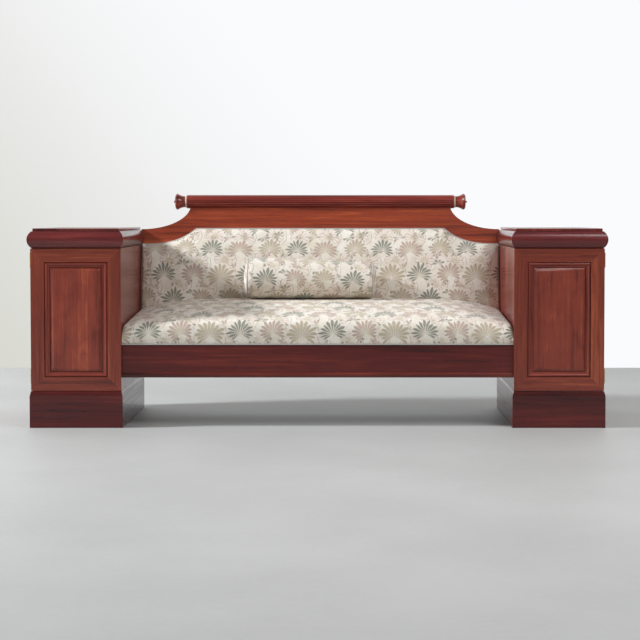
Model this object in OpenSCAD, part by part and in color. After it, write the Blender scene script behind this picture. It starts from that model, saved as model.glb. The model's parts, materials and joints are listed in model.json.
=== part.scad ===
// Box sofa: two cupboard arms with hinged doors, a crowned seat, a raked back with a shaped
// crest rail and a reeded top bar, and a loose round bolster.
// Millimetres. The front faces -Y, +X is to the right and +Z is up. The origin is on the floor,
// in the middle of the overall width and depth.

/* [Arms] */
// Clear width between the two arms
seat_gap = 1484; // [1100:1:2000]
// Width of one arm
arm_w = 341; // [280:1:450]
// Depth of one arm, from the door's face to its back
arm_d = 635; // [600:1:720]
// Height of the cupboard between the plinth and the cap
cupboard_h = 541; // [500:1:600]
// Thickness of the cupboard's boards
board_t = 20; // [18:1:26]
// Thickness of the cupboard's back board
back_board_t = 8; // [6:1:14]
// Height of the shelf above the bottom board
shelf_up = 238; // [180:1:300]
// Thickness of the shelf
shelf_t = 16; // [12:1:22]
// How far the shelf and its cleats stay behind the cupboard's front edge
shelf_set = 24; // [10:1:80]
// Height of a shelf cleat
cleat_h = 18; // [12:1:30]
// Thickness of a shelf cleat
cleat_t = 14; // [10:1:24]

/* [Plinth] */
// Height of the plinth
plinth_h = 139; // [100:1:180]
// Thickness of the plinth's boards
plinth_t = 22; // [16:1:30]
// How far the plinth stands out past the cupboard
plinth_over = 5.5; // [3:0.5:9]
// Height of the chamfer along the plinth's top edge
chamfer_h = 19; // [8:1:30]
// Depth of that chamfer
chamfer_in = 5; // [2:0.5:8]

/* [Cap] */
// Height of the cap's half-round moulding
cap_h = 63; // [45:1:80]
// How far the moulding stands out past the cupboard
cap_over = 11.5; // [8:0.5:16]
// Width of the moulding's strips
cap_strip_w = 50; // [40:1:70]
// How far the cap moulding's rounded face bulges
cap_bulge = 15; // [13:0.5:20]
// Thickness of the cap's top board
cap_board_t = 11; // [8:1:18]
// How far the top board's edge lies inside the cupboard's face
cap_board_in = 7.5; // [3:0.5:12]

/* [Doors] */
// Thickness of a door
door_t = 24; // [22:1:30]
// Clearance above and below a door
door_gap = 2; // [1.5:0.5:4]
// Clearance between a closed door and the cupboard's front edge
door_back_gap = 1; // [1:0.1:2]
// Width of the door's stiles and rails
frame_w = 51; // [44:1:65]
// Width of the rebate that holds the panel
rebate_w = 9; // [6:1:12]
// Thickness of the lip in front of the panel
lip_t = 13; // [12:0.5:14]
// Width of the door's mitred moulding
moulding_w = 20; // [17:1:28]
// Diameter of the moulding's bead
door_bead_d = 13; // [9:1:15]
// Depth of the moulding's flat fillet behind the door's face
fillet_set = 6.5; // [4:0.5:9]
// Thickness of the panel's edge
panel_t = 8; // [6:1:8]
// Width of the bevel round the raised field
bevel_w = 14; // [8:1:24]
// Depth of the raised field behind the door's face
field_set = 3; // [1:0.5:5]
// Room round the panel for the wood to move
panel_room = 0.5; // [0.3:0.1:2]
// Glue line in a mitre
glue = 0.1; // [0.05:0.05:0.2]

/* [Hinges] */
// Height of a butt hinge
hinge_h = 55; // [45:1:75]
// Width of a hinge leaf, from the cupboard's side face
leaf_w = 17; // [15:0.5:18]
// Thickness of a leaf
leaf_t = 1.6; // [1.2:0.1:2]
// Diameter of the knuckles
knuckle_d = 5.6; // [4.8:0.2:6]
// Height of the middle knuckle, which is on the door's leaf
knuckle_mid_h = 21; // [15:1:30]
// Diameter of the hinge pin
pin_d = 2.4; // [2:0.1:2.6]
// Radial clearance between a pin and its knuckles
pin_clear = 0.05; // [0.02:0.01:0.1]
// How far the pin's axis lies outside the cupboard's side face
axis_out = 3.6; // [3.4:0.1:4.4]
// Gap between two knuckles, and round a leaf in its recess
leaf_gap = 0.2; // [0.1:0.05:0.4]
// Distance from the door's top edge to the upper hinge
hinge_top_in = 16; // [10:1:60]
// Distance from the door's bottom edge to the lower hinge
hinge_bottom_in = 25; // [10:1:60]
// Diameter of a hinge screw's shank
screw_d = 2.8; // [2.4:0.1:3.2]
// Diameter of a hinge screw's head
screw_head_d = 5.4; // [4.8:0.1:6]
// Length of a hinge screw
screw_l = 12; // [9:1:14]
// Distance between the two screws of a leaf
screw_pitch = 35; // [28:1:40]
// Diameter of the ball catch's barrel
catch_d = 8; // [6:0.5:10]
// Length of that barrel
catch_l = 14; // [10:1:24]
// Height of the strike plate
strike_h = 26; // [18:1:40]
// Width of the strike plate
strike_w = 12; // [9:1:16]
// Thickness of the strike plate
strike_t = 0.8; // [0.6:0.1:1.2]

/* [Seat frame] */
// Height of the seat rails' bottom edge above the floor
rail_z = 189; // [160:1:210]
// Height of the front rail
rail_h = 123; // [95:1:140]
// Thickness of the seat rails
rail_t = 30; // [24:1:40]
// How far the front rail lies behind the doors' faces
rail_set = 17; // [12:1:26]
// Height of the inner rails
inner_rail_h = 82; // [60:1:90]
// How far the cross rails stay below the seat rails' top edge
cross_drop = 24; // [10:1:36]
// Height of the bead along the front rail's bottom edge
rail_bead_h = 19; // [12:1:26]
// How far the bead stands out
rail_bead_out = 6; // [4:0.5:8]
// Width of a webbing strap
web_w = 50; // [38:1:60]
// Thickness of a webbing strap
web_t = 2; // [1.5:0.1:2.5]
// Distance between the straps that run from front to back
web_pitch = 112; // [90:1:150]
// Thickness of the base cloth, the dust cover and the outside back cover
cloth_t = 1.2; // [0.8:0.1:2]
// Diameter of a bed bolt
bolt_d = 8; // [6:0.5:10]
// Height of a bed bolt's head
bolt_head_h = 5; // [4:0.5:7]
// Height of the gimp strip along the seat
gimp_w = 5; // [3:0.5:9]
// Thickness of the gimp strips
gimp_t = 3; // [2:0.5:4]

/* [Seat cushion] */
// Clearance round the soft pieces
soft_gap = 0.3; // [0.3:0.1:1]
// Height of the cushion's front edge next to an arm
seat_front_h = 72; // [55:1:95]
// Height of the cushion's back edge next to an arm
seat_back_h = 97; // [75:1:120]
// How much higher the front edge is in the middle
seat_front_crown = 24; // [10:1:35]
// How much higher the back edge is in the middle
seat_back_crown = 53; // [20:1:65]
// Extra height halfway between front and back
seat_belly = 7; // [0:1:15]
// Radius of the front roll
seat_roll = 44; // [25:1:52]
// How far the front face swells past the rail
seat_swell = 4; // [2:0.5:8]
// How far the front face is drawn in behind the rail's face, along the rail
seat_draw = 2; // [1:0.5:6]
// Radius of the rolls at the back and at the two ends
seat_end_roll = 14; // [8:1:20]

/* [Back] */
// Depth of the back frame's face behind the doors' faces, at the seat rails' top
back_face_d = 527; // [500:1:540]
// Rake of the back
rake = 11; // [7:0.5:14]
// Thickness of the back frame
back_t = 26; // [20:1:32]
// Width of a back post
post_w = 60; // [45:1:80]
// Distance from the seat rails' top to the lower back rail
low_rail_up = 12; // [8:1:20]
// Height of the lower back rail
low_rail_h = 60; // [45:1:80]
// Height of the crest rail at its ends
crest_end_h = 90; // [75:1:110]
// How far the crest rail's ends lie below the arms' tops
crest_drop = 8; // [4:1:14]
// How far the crest rail rises from its ends to the top bar
crest_rise = 101; // [80:1:120]
// Width of the swept ends of the crest rail
crest_sweep_w = 203; // [140:1:240]
// How far the pad's top edge lies below the crest rail's, in the middle
pad_top_drop = 104; // [90:1:115]
// How far the pad's ends rise past the underside of the arms' caps
pad_end_rise = 1.2; // [0:0.1:4]
// Gap between the trim round the pad and an arm
back_gap = 3; // [2:0.5:12]
// Width of the swept ends of the pad
pad_sweep_w = 222; // [150:1:260]
// How the pad's sweep curves: 2 is an even curve, more flattens its lower part
pad_sweep_power = 2.85; // [2:0.05:3.5]
// Thickness of the pad at its edge
pad_edge = 6; // [4:0.5:10]
// How much thicker the pad is in the middle
pad_crown = 36; // [22:1:44]
// Width of the gimp round the pad
pad_gimp_w = 5; // [3:0.5:9]
// Distance between the upright straps of the back
back_web_pitch = 150; // [100:1:190]
// Thickness of a strap of the back
back_web_t = 1.5; // [1:0.1:2]

/* [Top bar] */
// Diameter of the top bar
bar_d = 56; // [48:1:66]
// How far the bar reaches past the crest rail's upper corners
bar_over = 15.5; // [4:0.5:20]
// Depth of the bar's axis behind the back frame's face
bar_set = 6; // [2:1:12]
// Depth of the groove in the bar that takes the crest rail
bar_groove = 14; // [10:1:18]
// Number of reeds
reeds = 3; // [3:1:7]
// Upper end of the reeded zone, as an angle above the level
reed_top_a = -1; // [-5:1:55]
// Lower end of the reeded zone, as an angle above the level
reed_low_a = -56; // [-60:1:-15]
// Width of the collar at each end of the bar
collar_l = 7; // [4:1:12]
// Diameter of the collar
collar_d = 50; // [44:1:56]
// Length of a finial
finial_l = 42; // [30:1:60]
// Diameter of a finial's neck
neck_d = 46; // [38:1:50]
// Diameter of a finial's lip
lip_d = 67; // [58:1:80]
// Radius of the lip's round edge
lip_r = 5; // [3:0.5:8]
// Diameter of the button on a finial's end
button_d = 10; // [7:1:16]
// Length of that button
button_l = 7; // [4:1:10]
// Diameter of a finial's tenon
tenon_d = 14; // [10:1:20]
// Length of the tenon inside the bar
tenon_l = 25; // [15:1:40]

/* [Bolster] */
// Mean diameter of the bolster
bolster_d = 162; // [120:1:190]
// Length of the bolster
bolster_l = 521; // [380:1:640]
// Place of its middle, to the right of the sofa's middle
bolster_x = -38; // [-120:1:120]
// How much thicker its left end is than its right end
bolster_taper = 22; // [0:1:30]
// How much its ends draw in from the middle
bolster_draw = 2; // [1:0.5:8]
// Radius of its rounded shoulders
bolster_shoulder = 30; // [20:1:46]
// How far its end faces dome out
bolster_dome = 8; // [4:1:14]
// Diameter of the piping round each end
piping_d = 7; // [5:0.5:9]

/* [Hidden] */
$fn = 64;
mahogany = "#7d3f22";
dark_mahogany = "#5f2c18";
beech = "#b98a5a";
brass = "#c39a4a";
cream = "#d8cdb6";
pale_grey = "#c9c6bd";
hessian = "#a98d62";

// Small steps that keep cuts clear of the faces that they leave
eps = 1;

// Places of the arms: x runs outwards from an arm's inner face, y backwards from the door's face
front_y = cap_over - (cap_over + rear_d()) / 2;
door_back = door_t + door_back_gap;
cap_z = plinth_h + cupboard_h;
arm_h = cap_z + cap_h + cap_board_t;
inner_w = arm_w - 2 * board_t;
door_h = cupboard_h - 2 * door_gap;
door_z = plinth_h + door_gap;
opening_w = arm_w - 2 * frame_w;
opening_h = door_h - 2 * frame_w;
cap_arc_r = (pow(cap_bulge, 2) + pow(cap_h / 2, 2)) / (2 * cap_bulge);

// Places of the hinges
axis_x = arm_w + axis_out;
axis_y = door_t + door_back_gap / 2;
knuckle_clear = 0.4;
hinge_zs = [door_z + hinge_bottom_in, door_z + door_h - hinge_top_in - hinge_h];
side_knuckle_h = (hinge_h - knuckle_mid_h) / 2 - leaf_gap;
screw_x = arm_w - leaf_w / 2 - 1;
screw_zs = [(hinge_h - screw_pitch) / 2, (hinge_h + screw_pitch) / 2];
screw_head_h = 1.3;
screw_clear = 0.05;
pin_head_h = 0.8;
knuckle_room = pin_head_h + knuckle_clear;
catch_z = door_z + door_h / 2;
catch_ball_d = 5;
catch_proud = 0.6;

// Places in the seat
rail_top = rail_z + rail_h;
inner_rail_z = rail_top - inner_rail_h;
half_gap = seat_gap / 2;
back_rail_d = back_face_d - rail_t;
webbed_z = rail_top + 2 * web_t + cloth_t;
bolt_ds = [110, 430];
bolt_z = inner_rail_z + inner_rail_h / 2;
bolt_l = 24;
bolt_head_d = 2 * bolt_d;
strap_edge = 7;
long_strap_ds = [for (k = [0.5 : 3.5]) rail_set + rail_t + k * (back_rail_d - rail_set - rail_t) / 4];

// Places in the back: s runs up the rake from the seat rails' top and t forwards from its face
back_half_w = half_gap - back_gap;
post_gap = 0.5;
post_half_w = half_gap - post_gap;
crest_end_z = arm_h - crest_drop;
crest_s = s_of(crest_end_z + crest_rise);
crest_end_s = s_of(crest_end_z);
crest_low_s = crest_end_s - crest_end_h;
crest_x = post_half_w - crest_sweep_w;
pad_half_w = back_half_w - pad_gimp_w;
pad_x = pad_half_w - pad_sweep_w;
pad_top_s = crest_s - pad_top_drop;
pad_end_s = s_of(cap_z + pad_end_rise);
pad_low_s = 20;
pad_back_t = 2 * back_web_t + soft_gap;
bar_r = bar_d / 2;
bar_s = crest_s - bar_groove + bar_r;
bar_half_l = crest_x + bar_over;
groove_gap = 0.3;
groove_half_l = groove_gap + crest_x
    + crest_sweep_w * (1 - cos(asin(bar_groove / (crest_s - crest_end_s))));
knee_s = back_t * tan(rake / 2);

// Height on the rake of a point on the back frame's face at height z
function s_of(z) = (z - rail_z - rail_h) / cos(rake);

// Depth behind the doors' faces, and height, of a point of the back
function back_d(s, t) = back_face_d + s * sin(rake) - t * cos(rake);
function back_z(s, t) = rail_top + s * cos(rake) + t * sin(rake);

// Depth of the rearmost point: the back of a finial's lip
function rear_d() = back_face_d
    + (s_of(plinth_h + cupboard_h + cap_h + cap_board_t - crest_drop + crest_rise)
        - bar_groove + bar_d / 2) * sin(rake) + bar_set * cos(rake) + lip_d / 2;

// A quarter ellipse that sweeps down from (x0, s0) to (x1, s1), hollow side up
function sweep(x0, x1, s0, s1, n = 14) =
    [for (k = [0 : n]) [x1 - (x1 - x0) * cos(90 * k / n), s0 - (s0 - s1) * sin(90 * k / n)]];
function mirrored(points) = [for (k = [len(points) - 1 : -1 : 0]) [-points[k][0], points[k][1]]];
function mix(a, b, v) = a + (b - a) * v;
function clamp(v, low, high) = min(max(v, low), high);

// Top edge of the pad at x and the slope of its sweep there, as an angle
function pad_q(x) = clamp((pad_half_w - abs(x)) / pad_sweep_w, 0, 1);
function pad_s(x) = pad_end_s + (pad_top_s - pad_end_s) * pow(pad_q(x), pad_sweep_power);
function pad_slope(x) =
    atan((pad_top_s - pad_end_s) / pad_sweep_w * pad_sweep_power * pow(pad_q(x), pad_sweep_power - 1));

// Right half of the line that runs round the pad's top edge, moved outwards
function pad_rim(out, n = 12) = concat(
    [[pad_x + out * tan(pad_slope(pad_x) / 2), pad_top_s + out]],
    [for (k = [1 : n]) let(x = pad_x + pad_sweep_w * k / n, a = pad_slope(x))
        [x + out * sin(a), pad_s(x) + out * cos(a)]],
    [[pad_half_w + out, pad_end_s + out]]
);

// Thickness of the pad at x and s
function pad_fall(x, s) =
    (1 - pow(clamp(abs(x) / pad_half_w, 0, 1), 4))
        * (1 - pow(clamp(2 * (s - pad_low_s) / (pad_s(x) - pad_low_s) - 1, -1, 1), 4));
function pad_t(x, s) = pad_back_t + pad_edge + pad_crown * sqrt(pad_fall(x, s));

// Depth of the pad's surface at x and height z, in two steps because the pad leans
function pad_guess_s(x, z, s) = (z - rail_top - pad_t(x, s) * sin(rake)) / cos(rake);
function pad_face_d(x, z) = let(s = pad_guess_s(x, z, pad_guess_s(x, z, s_of(z)))) back_d(s, pad_t(x, s));

// Seat cushion: half width, front line and height above the webbing at x and v, from front 0 to back 1
seat_half_w = half_gap - soft_gap;
seat_low_z = webbed_z + soft_gap;
seat_front_d = rail_set - seat_swell;
seat_roll_d = seat_front_d + seat_roll;
seat_back_gap = 1;
function seat_bulge(x) = 1 - pow(abs(x) / seat_half_w, 6);
function seat_drop(x) =
    let(q = clamp((abs(x) - seat_half_w + seat_end_roll) / seat_end_roll, 0, 1))
    seat_end_roll * (1 - sqrt(1 - q * q));
function seat_h(x, v) = mix(seat_front_h, seat_back_h, v) - seat_drop(x)
    + (mix(seat_front_crown, seat_back_crown, sqrt(v)) + seat_belly * sin(180 * v)) * seat_bulge(x);
function seat_back_d(x) = min([for (q = [0 : 0.125 : 1])
    pad_face_d(x, seat_low_z + q * seat_h(x, 1))]) - seat_back_gap;
function seat_limit_d(x) = seat_back_d(x) - seat_end_roll;
function seat_z(x, d) =
    seat_low_z + seat_h(x, clamp((d - seat_roll_d) / (seat_limit_d(x) - seat_roll_d), 0, 1));

// One closed section of the cushion at x, from the front's foot over the top to the back's foot
face_steps = 3;
roll_steps = 5;
top_steps = 10;
function seat_section(x) =
    let(h0 = seat_h(x, 0), h1 = seat_h(x, 1), face_h = h0 - seat_roll, limit = seat_limit_d(x))
    concat(
        [for (k = [0 : face_steps]) let(q = k / face_steps)
            [x, seat_front_d + (seat_swell + seat_draw) * (1 - sin(90 * q)), seat_low_z + face_h * q]],
        [for (k = [1 : roll_steps]) let(a = 90 * k / roll_steps)
            [x, seat_front_d + seat_roll * (1 - cos(a)), seat_low_z + face_h + seat_roll * sin(a)]],
        [for (k = [1 : top_steps]) let(v = k / top_steps)
            [x, mix(seat_roll_d, limit, v), seat_low_z + seat_h(x, v)]],
        [for (a = [30 : 30 : 90])
            [x, limit + seat_end_roll * sin(a), seat_low_z + h1 - seat_end_roll * (1 - cos(a))]],
        [[x, limit + seat_end_roll, seat_low_z]]
    );
seat_flat_w = seat_half_w - seat_end_roll;
seat_steps = 12;
seat_xs = concat(
    [for (a = [90, 60, 30]) -seat_flat_w - seat_end_roll * sin(a)],
    [for (k = [-seat_steps : seat_steps]) seat_flat_w * sin(90 * k / seat_steps)],
    [for (a = [30, 60, 90]) seat_flat_w + seat_end_roll * sin(a)]
);

// One closed section of the back pad at x, in the back's raked frame
pad_steps = 14;
function pad_section(x) = concat(
    [for (k = [0 : pad_steps])
        let(s = mix(pad_low_s, pad_s(x), (1 - cos(180 * k / pad_steps)) / 2)) [x, -pad_t(x, s), s]],
    [[x, -pad_back_t, pad_s(x)], [x, -pad_back_t, pad_low_s]]
);
pad_edge_steps = [14, 5, 1.5, 0];
pad_half_xs = concat(
    [for (k = [1 : 5]) pad_x * k / 5],
    [for (k = [1 : 8]) pad_x + pad_sweep_w * k / 9],
    [for (e = pad_edge_steps) pad_half_w - e]
);
pad_xs = concat([for (k = [len(pad_half_xs) - 1 : -1 : 0]) -pad_half_xs[k]], [0], pad_half_xs);

// Bolster: radius at q, from its left end -1 to its right end 1, and where it comes to rest
bolster_r = bolster_d / 2;
function bolster_radius(q) = bolster_r - bolster_draw * q * q - bolster_taper / 4 * q;
bolster_lean = atan(bolster_taper / 2 / bolster_l);
rest_gap = 0.5;
rest_steps = [for (k = [-6 : 6]) 0.12 * k];
function rest_z(d) = rest_gap + max([for (q = rest_steps)
    seat_z(bolster_x / 2, d + q * bolster_r) + bolster_r * sqrt(1 - q * q)]);
function rest_t(s) = rest_gap + max([for (q = rest_steps)
    pad_t(bolster_x / 2, s + q * bolster_r) + bolster_r * sqrt(1 - q * q)]);
function raked_s(d, z) = (d - back_face_d) * sin(rake) + (z - rail_top) * cos(rake);
function rest_d(d, z) = let(s = raked_s(d, z)) back_d(s, rest_t(s));
function settle(n, d, z) = n == 0 ? [d, z] : settle(n - 1, rest_d(d, rest_z(d)), rest_z(d));
bolster_at = settle(5, back_face_d - pad_crown - bolster_r, rail_top + 2 * bolster_r);
bolster_end = bolster_l / 2;
bolster_flat = bolster_end - bolster_shoulder;

// Places one arm's pieces on the right or the left
module on_side(side) {
    if (side > 0) {
        translate([half_gap, front_y, 0]) children();
    } else {
        mirror([1, 0, 0]) translate([half_gap, front_y, 0]) children();
    }
}

// Places a piece of the seat, whose y runs backwards from the doors' faces
module on_seat() {
    translate([0, front_y, 0]) children();
}

// Places a piece of the back, whose z runs up the rake and whose y runs backwards from its face
module on_back() {
    translate([0, front_y + back_face_d, rail_top]) rotate([-rake, 0, 0]) children();
}

// A solid along X with its profile in Y and Z
module along_x(length) {
    rotate([90, 0, 90]) linear_extrude(height = length) children();
}

// A plate of thickness t behind the XZ plane, from an outline in X and Z
module plate(t) {
    translate([0, t, 0]) rotate([90, 0, 0]) linear_extrude(height = t) children();
}

// A strip along X with its outer edge on the X axis, mitred where cut is 1; its profile is in depth
// and width
module mitred_strip(length, wide, deep, cut = [1, 1]) {
    intersection() {
        along_x(length) children();
        translate([0, -eps, 0]) plate(deep + 2 * eps) polygon([
            [cut[0] * glue, 0],
            [length - cut[1] * glue, 0],
            [length - cut[1] * (wide + glue), wide],
            [cut[0] * (wide + glue), wide]
        ]);
    }
}

// Four mitred strips round a rectangle in X and Z
module mitred_ring(w, h, wide, deep) {
    mitred_strip(w, wide, deep) children();
    translate([0, 0, h]) mirror([0, 0, 1]) mitred_strip(w, wide, deep) children();
    mirror([1, 0, -1]) mitred_strip(h, wide, deep) children();
    translate([w, 0, 0]) mirror([1, 0, 0]) mirror([1, 0, -1]) mitred_strip(h, wide, deep) children();
}

// Three mitred strips of height tall round the front and the two sides of an arm, out past its faces
module arm_skirt(out, wide, tall) {
    length = arm_d + out;
    translate([-out, -out, 0]) mirror([0, 1, -1]) mitred_strip(arm_w + 2 * out, wide, tall) children();
    translate([-out, -out, 0]) rotate([90, 0, 90]) mitred_strip(length, wide, tall, [1, 0]) children();
    translate([arm_w + out, -out, 0]) mirror([1, 0, 0]) rotate([90, 0, 90])
        mitred_strip(length, wide, tall, [1, 0]) children();
}

// A D-shaped strip that stands out by bulge from the line x = 0, over a height h
module d_profile(h, bulge) {
    r = (pow(h / 2, 2) + pow(bulge, 2)) / (2 * bulge);
    intersection() {
        translate([r - bulge, h / 2]) circle(r = r);
        translate([-bulge, 0]) square([bulge, h]);
    }
}

// A closed form through sections of the same number of points
module lofted(sections) {
    m = len(sections[0]);
    n = len(sections);
    polyhedron(
        points = [for (section = sections) each section],
        faces = concat(
            [for (k = [0 : m - 3]) [m - 1, k + 1, k]],
            [for (k = [0 : m - 3]) [n * m - 1, (n - 1) * m + k, (n - 1) * m + k + 1]],
            [for (i = [0 : n - 2]) for (j = [0 : m - 1])
                [i * m + j, i * m + (j + 1) % m, (i + 1) * m + (j + 1) % m]],
            [for (i = [0 : n - 2]) for (j = [0 : m - 1])
                [i * m + j, (i + 1) * m + (j + 1) % m, (i + 1) * m + j]]
        )
    );
}

// Arms

module plinth_profile() {
    polygon([
        [0, 0],
        [plinth_h - chamfer_h, 0],
        [plinth_h, chamfer_in],
        [plinth_h, plinth_t],
        [0, plinth_t]
    ]);
}

module plinth(side) {
    between = arm_w + 2 * plinth_over - 2 * plinth_t - 2 * glue;
    color(dark_mahogany) on_side(side) {
        arm_skirt(plinth_over, plinth_t, plinth_h) plinth_profile();
        translate([plinth_t + glue - plinth_over, arm_d - plinth_t, 0]) cube([between, plinth_t, plinth_h]);
    }
}

module side_board() {
    translate([0, door_back, plinth_h]) cube([board_t, arm_d - door_back, cupboard_h]);
}

module inner_side(side) {
    color(mahogany) on_side(side) difference() {
        side_board();
        translate([board_t / 2, door_back - eps, catch_z]) rotate([-90, 0, 0])
            cylinder(d = catch_d, h = catch_l + eps);
        for (d = bolt_ds) {
            translate([-eps, d, bolt_z]) rotate([0, 90, 0]) cylinder(d = bolt_d, h = board_t + 2 * eps);
        }
    }
}

module outer_side(side) {
    color(mahogany) on_side(side) difference() {
        translate([arm_w - board_t, 0, 0]) side_board();
        hinge_cuts(1);
    }
}

module back_board(side) {
    color(beech) on_side(side)
        translate([board_t, arm_d - back_board_t, plinth_h]) cube([inner_w, back_board_t, cupboard_h]);
}

module level_board(side, z) {
    color(beech) on_side(side)
        translate([board_t, door_back, z]) cube([inner_w, arm_d - back_board_t - door_back, board_t]);
}

module shelf(side) {
    room = 0.5;
    color(beech) on_side(side)
        translate([board_t + room, door_back + shelf_set, plinth_h + board_t + shelf_up])
            cube([inner_w - 2 * room, arm_d - back_board_t - door_back - shelf_set - room, shelf_t]);
}

module shelf_cleats() {
    color(beech) for (side = [-1, 1]) {
        on_side(side) for (x = [board_t, arm_w - board_t - cleat_t]) {
            translate([x, door_back + shelf_set, plinth_h + board_t + shelf_up - cleat_h])
                cube([cleat_t, arm_d - back_board_t - door_back - shelf_set - eps, cleat_h]);
        }
    }
}

// Profile of the cap moulding in height and width, or of the room round it where grow is a gap
module cap_profile(grow = 0) {
    intersection() {
        translate([cap_h / 2, cap_arc_r]) circle(r = cap_arc_r + grow);
        translate([-grow, -grow]) square([cap_h + 2 * grow, cap_strip_w]);
    }
    translate([-grow, cap_bulge]) square([cap_h + 2 * grow, cap_strip_w - cap_bulge]);
}

module cap_moulding(side) {
    between = arm_w + 2 * cap_over - 2 * cap_strip_w - 2 * glue;
    color(mahogany) on_side(side) translate([0, 0, cap_z]) {
        arm_skirt(cap_over, cap_strip_w, cap_h) cap_profile();
        translate([cap_strip_w + glue - cap_over, arm_d - plinth_t, 0]) cube([between, plinth_t, cap_h]);
    }
}

module cap_board(side) {
    color(mahogany) on_side(side) translate([cap_board_in, cap_board_in, cap_z + cap_h])
        cube([arm_w - 2 * cap_board_in, arm_d - cap_board_in, cap_board_t]);
}

// Doors

module door_frame_profile() {
    polygon([
        [0, 0],
        [door_t, 0],
        [door_t, frame_w - rebate_w],
        [lip_t, frame_w - rebate_w],
        [lip_t, frame_w],
        [0, frame_w]
    ]);
}

module door_frame(side) {
    color(mahogany) on_side(side) difference() {
        translate([0, 0, door_z]) mitred_ring(arm_w, door_h, frame_w, door_t) door_frame_profile();
        hinge_cuts(-1);
        translate([board_t / 2, door_t, catch_z])
            cube([strike_w, 2 * strike_t, strike_h], center = true);
    }
}

module door_moulding_profile() {
    translate([fillet_set, 0]) square([lip_t - fillet_set, moulding_w]);
    intersection() {
        translate([door_bead_d / 2 + 1.5, door_bead_d / 2]) circle(d = door_bead_d);
        square([lip_t, door_bead_d]);
    }
}

module door_moulding(side) {
    color(dark_mahogany) on_side(side) translate([frame_w, 0, door_z + frame_w])
        mitred_ring(opening_w, opening_h, moulding_w, lip_t) door_moulding_profile();
}

module door_panel(side) {
    spread = rebate_w - panel_room;
    foot_in = moulding_w + glue;
    foot_h = 3;
    field_in = foot_in + bevel_w;
    color(mahogany) on_side(side) translate([frame_w, 0, door_z + frame_w]) {
        translate([-spread, lip_t, -spread])
            cube([opening_w + 2 * spread, panel_t, opening_h + 2 * spread]);
        hull() {
            translate([foot_in, lip_t - foot_h, foot_in])
                cube([opening_w - 2 * foot_in, foot_h, opening_h - 2 * foot_in]);
            translate([field_in, field_set, field_in])
                cube([opening_w - 2 * field_in, lip_t - field_set, opening_h - 2 * field_in]);
        }
    }
}

// Hinges: way is 1 for the cupboard's leaf and -1 for the door's leaf

module facing(way) {
    if (way > 0) {
        translate([0, axis_y, 0]) children();
    } else {
        translate([0, axis_y, 0]) mirror([0, 1, 0]) children();
    }
}

module leaf(way) {
    plate_end = axis_x - knuckle_d / 2 - knuckle_clear;
    spans = way > 0
        ? [[0, side_knuckle_h], [hinge_h - side_knuckle_h, hinge_h]]
        : [[side_knuckle_h + leaf_gap, hinge_h - side_knuckle_h - leaf_gap]];
    difference() {
        union() {
            facing(way) translate([arm_w - leaf_w, door_back_gap / 2, 0])
                cube([plate_end - arm_w + leaf_w, leaf_t, hinge_h]);
            for (span = spans) {
                facing(way) translate([plate_end - eps, door_back_gap / 2, span[0]])
                    cube([axis_x - plate_end + eps, leaf_t, span[1] - span[0]]);
                translate([axis_x, axis_y, span[0]]) cylinder(d = knuckle_d, h = span[1] - span[0]);
            }
        }
        translate([axis_x, axis_y, -eps]) cylinder(d = pin_d + 2 * pin_clear, h = hinge_h + 2 * eps);
        for (z = screw_zs) {
            translate([0, 0, z]) facing(way) screw_shape(screw_clear);
        }
    }
}

// A countersunk screw whose head is flush with a leaf's open face
module screw_shape(extra) {
    translate([screw_x, door_back_gap / 2, 0]) rotate([-90, 0, 0]) {
        cylinder(d1 = screw_head_d + 2 * extra, d2 = screw_d + 2 * extra, h = screw_head_h);
        cylinder(d = screw_d + 2 * extra, h = screw_l + extra);
    }
}

// Room for a leaf, its screws and the knuckles in the wood
module hinge_cuts(way) {
    for (z = hinge_zs) {
        translate([0, 0, z]) {
            facing(way) translate([arm_w - leaf_w - leaf_gap, 0, -leaf_gap])
                cube([leaf_w + leaf_gap + eps, door_back_gap / 2 + leaf_t, hinge_h + 2 * leaf_gap]);
            translate([axis_x, axis_y, -knuckle_room])
                cylinder(d = knuckle_d + 2 * knuckle_clear, h = hinge_h + 2 * knuckle_room);
            for (dz = screw_zs) {
                translate([0, 0, dz]) facing(way) screw_shape(screw_clear);
            }
        }
    }
}

module cupboard_hinge_leaves() {
    color(brass) for (side = [-1, 1]) {
        on_side(side) for (z = hinge_zs) {
            translate([0, 0, z]) leaf(1);
        }
    }
}

module door_leaves(side) {
    color(brass) on_side(side) for (z = hinge_zs) {
        translate([0, 0, z]) leaf(-1);
    }
}

module hinge_pins() {
    color(brass) for (side = [-1, 1]) {
        on_side(side) for (z = hinge_zs) {
            translate([axis_x, axis_y, z]) {
                cylinder(d = pin_d, h = hinge_h);
                translate([0, 0, -pin_head_h]) cylinder(d = knuckle_d - 1, h = pin_head_h);
                translate([0, 0, hinge_h]) cylinder(d = knuckle_d - 1, h = pin_head_h);
            }
        }
    }
}

module screw_row(side, way) {
    on_side(side) for (z = hinge_zs) {
        for (dz = screw_zs) {
            translate([0, 0, z + dz]) facing(way) screw_shape(0);
        }
    }
}

module hinge_screws() {
    color(brass) for (side = [-1, 1]) {
        screw_row(side, 1);
    }
}

module door_screws(side) {
    color(brass) screw_row(side, -1);
}

module ball_catches() {
    rim = catch_ball_d / 2;
    color(brass) for (side = [-1, 1]) {
        on_side(side) translate([board_t / 2, door_back, catch_z]) rotate([-90, 0, 0]) {
            cylinder(d = catch_d, h = catch_l);
            intersection() {
                translate([0, 0, rim - catch_proud]) sphere(r = rim);
                translate([0, 0, -catch_proud]) cylinder(r = rim, h = 2 * catch_proud);
            }
        }
    }
}

module strike_plate(side) {
    color(brass) on_side(side)
        translate([(board_t - strike_w) / 2, door_t - strike_t, catch_z - strike_h / 2])
        cube([strike_w, strike_t, strike_h]);
}

// Seat

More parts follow.
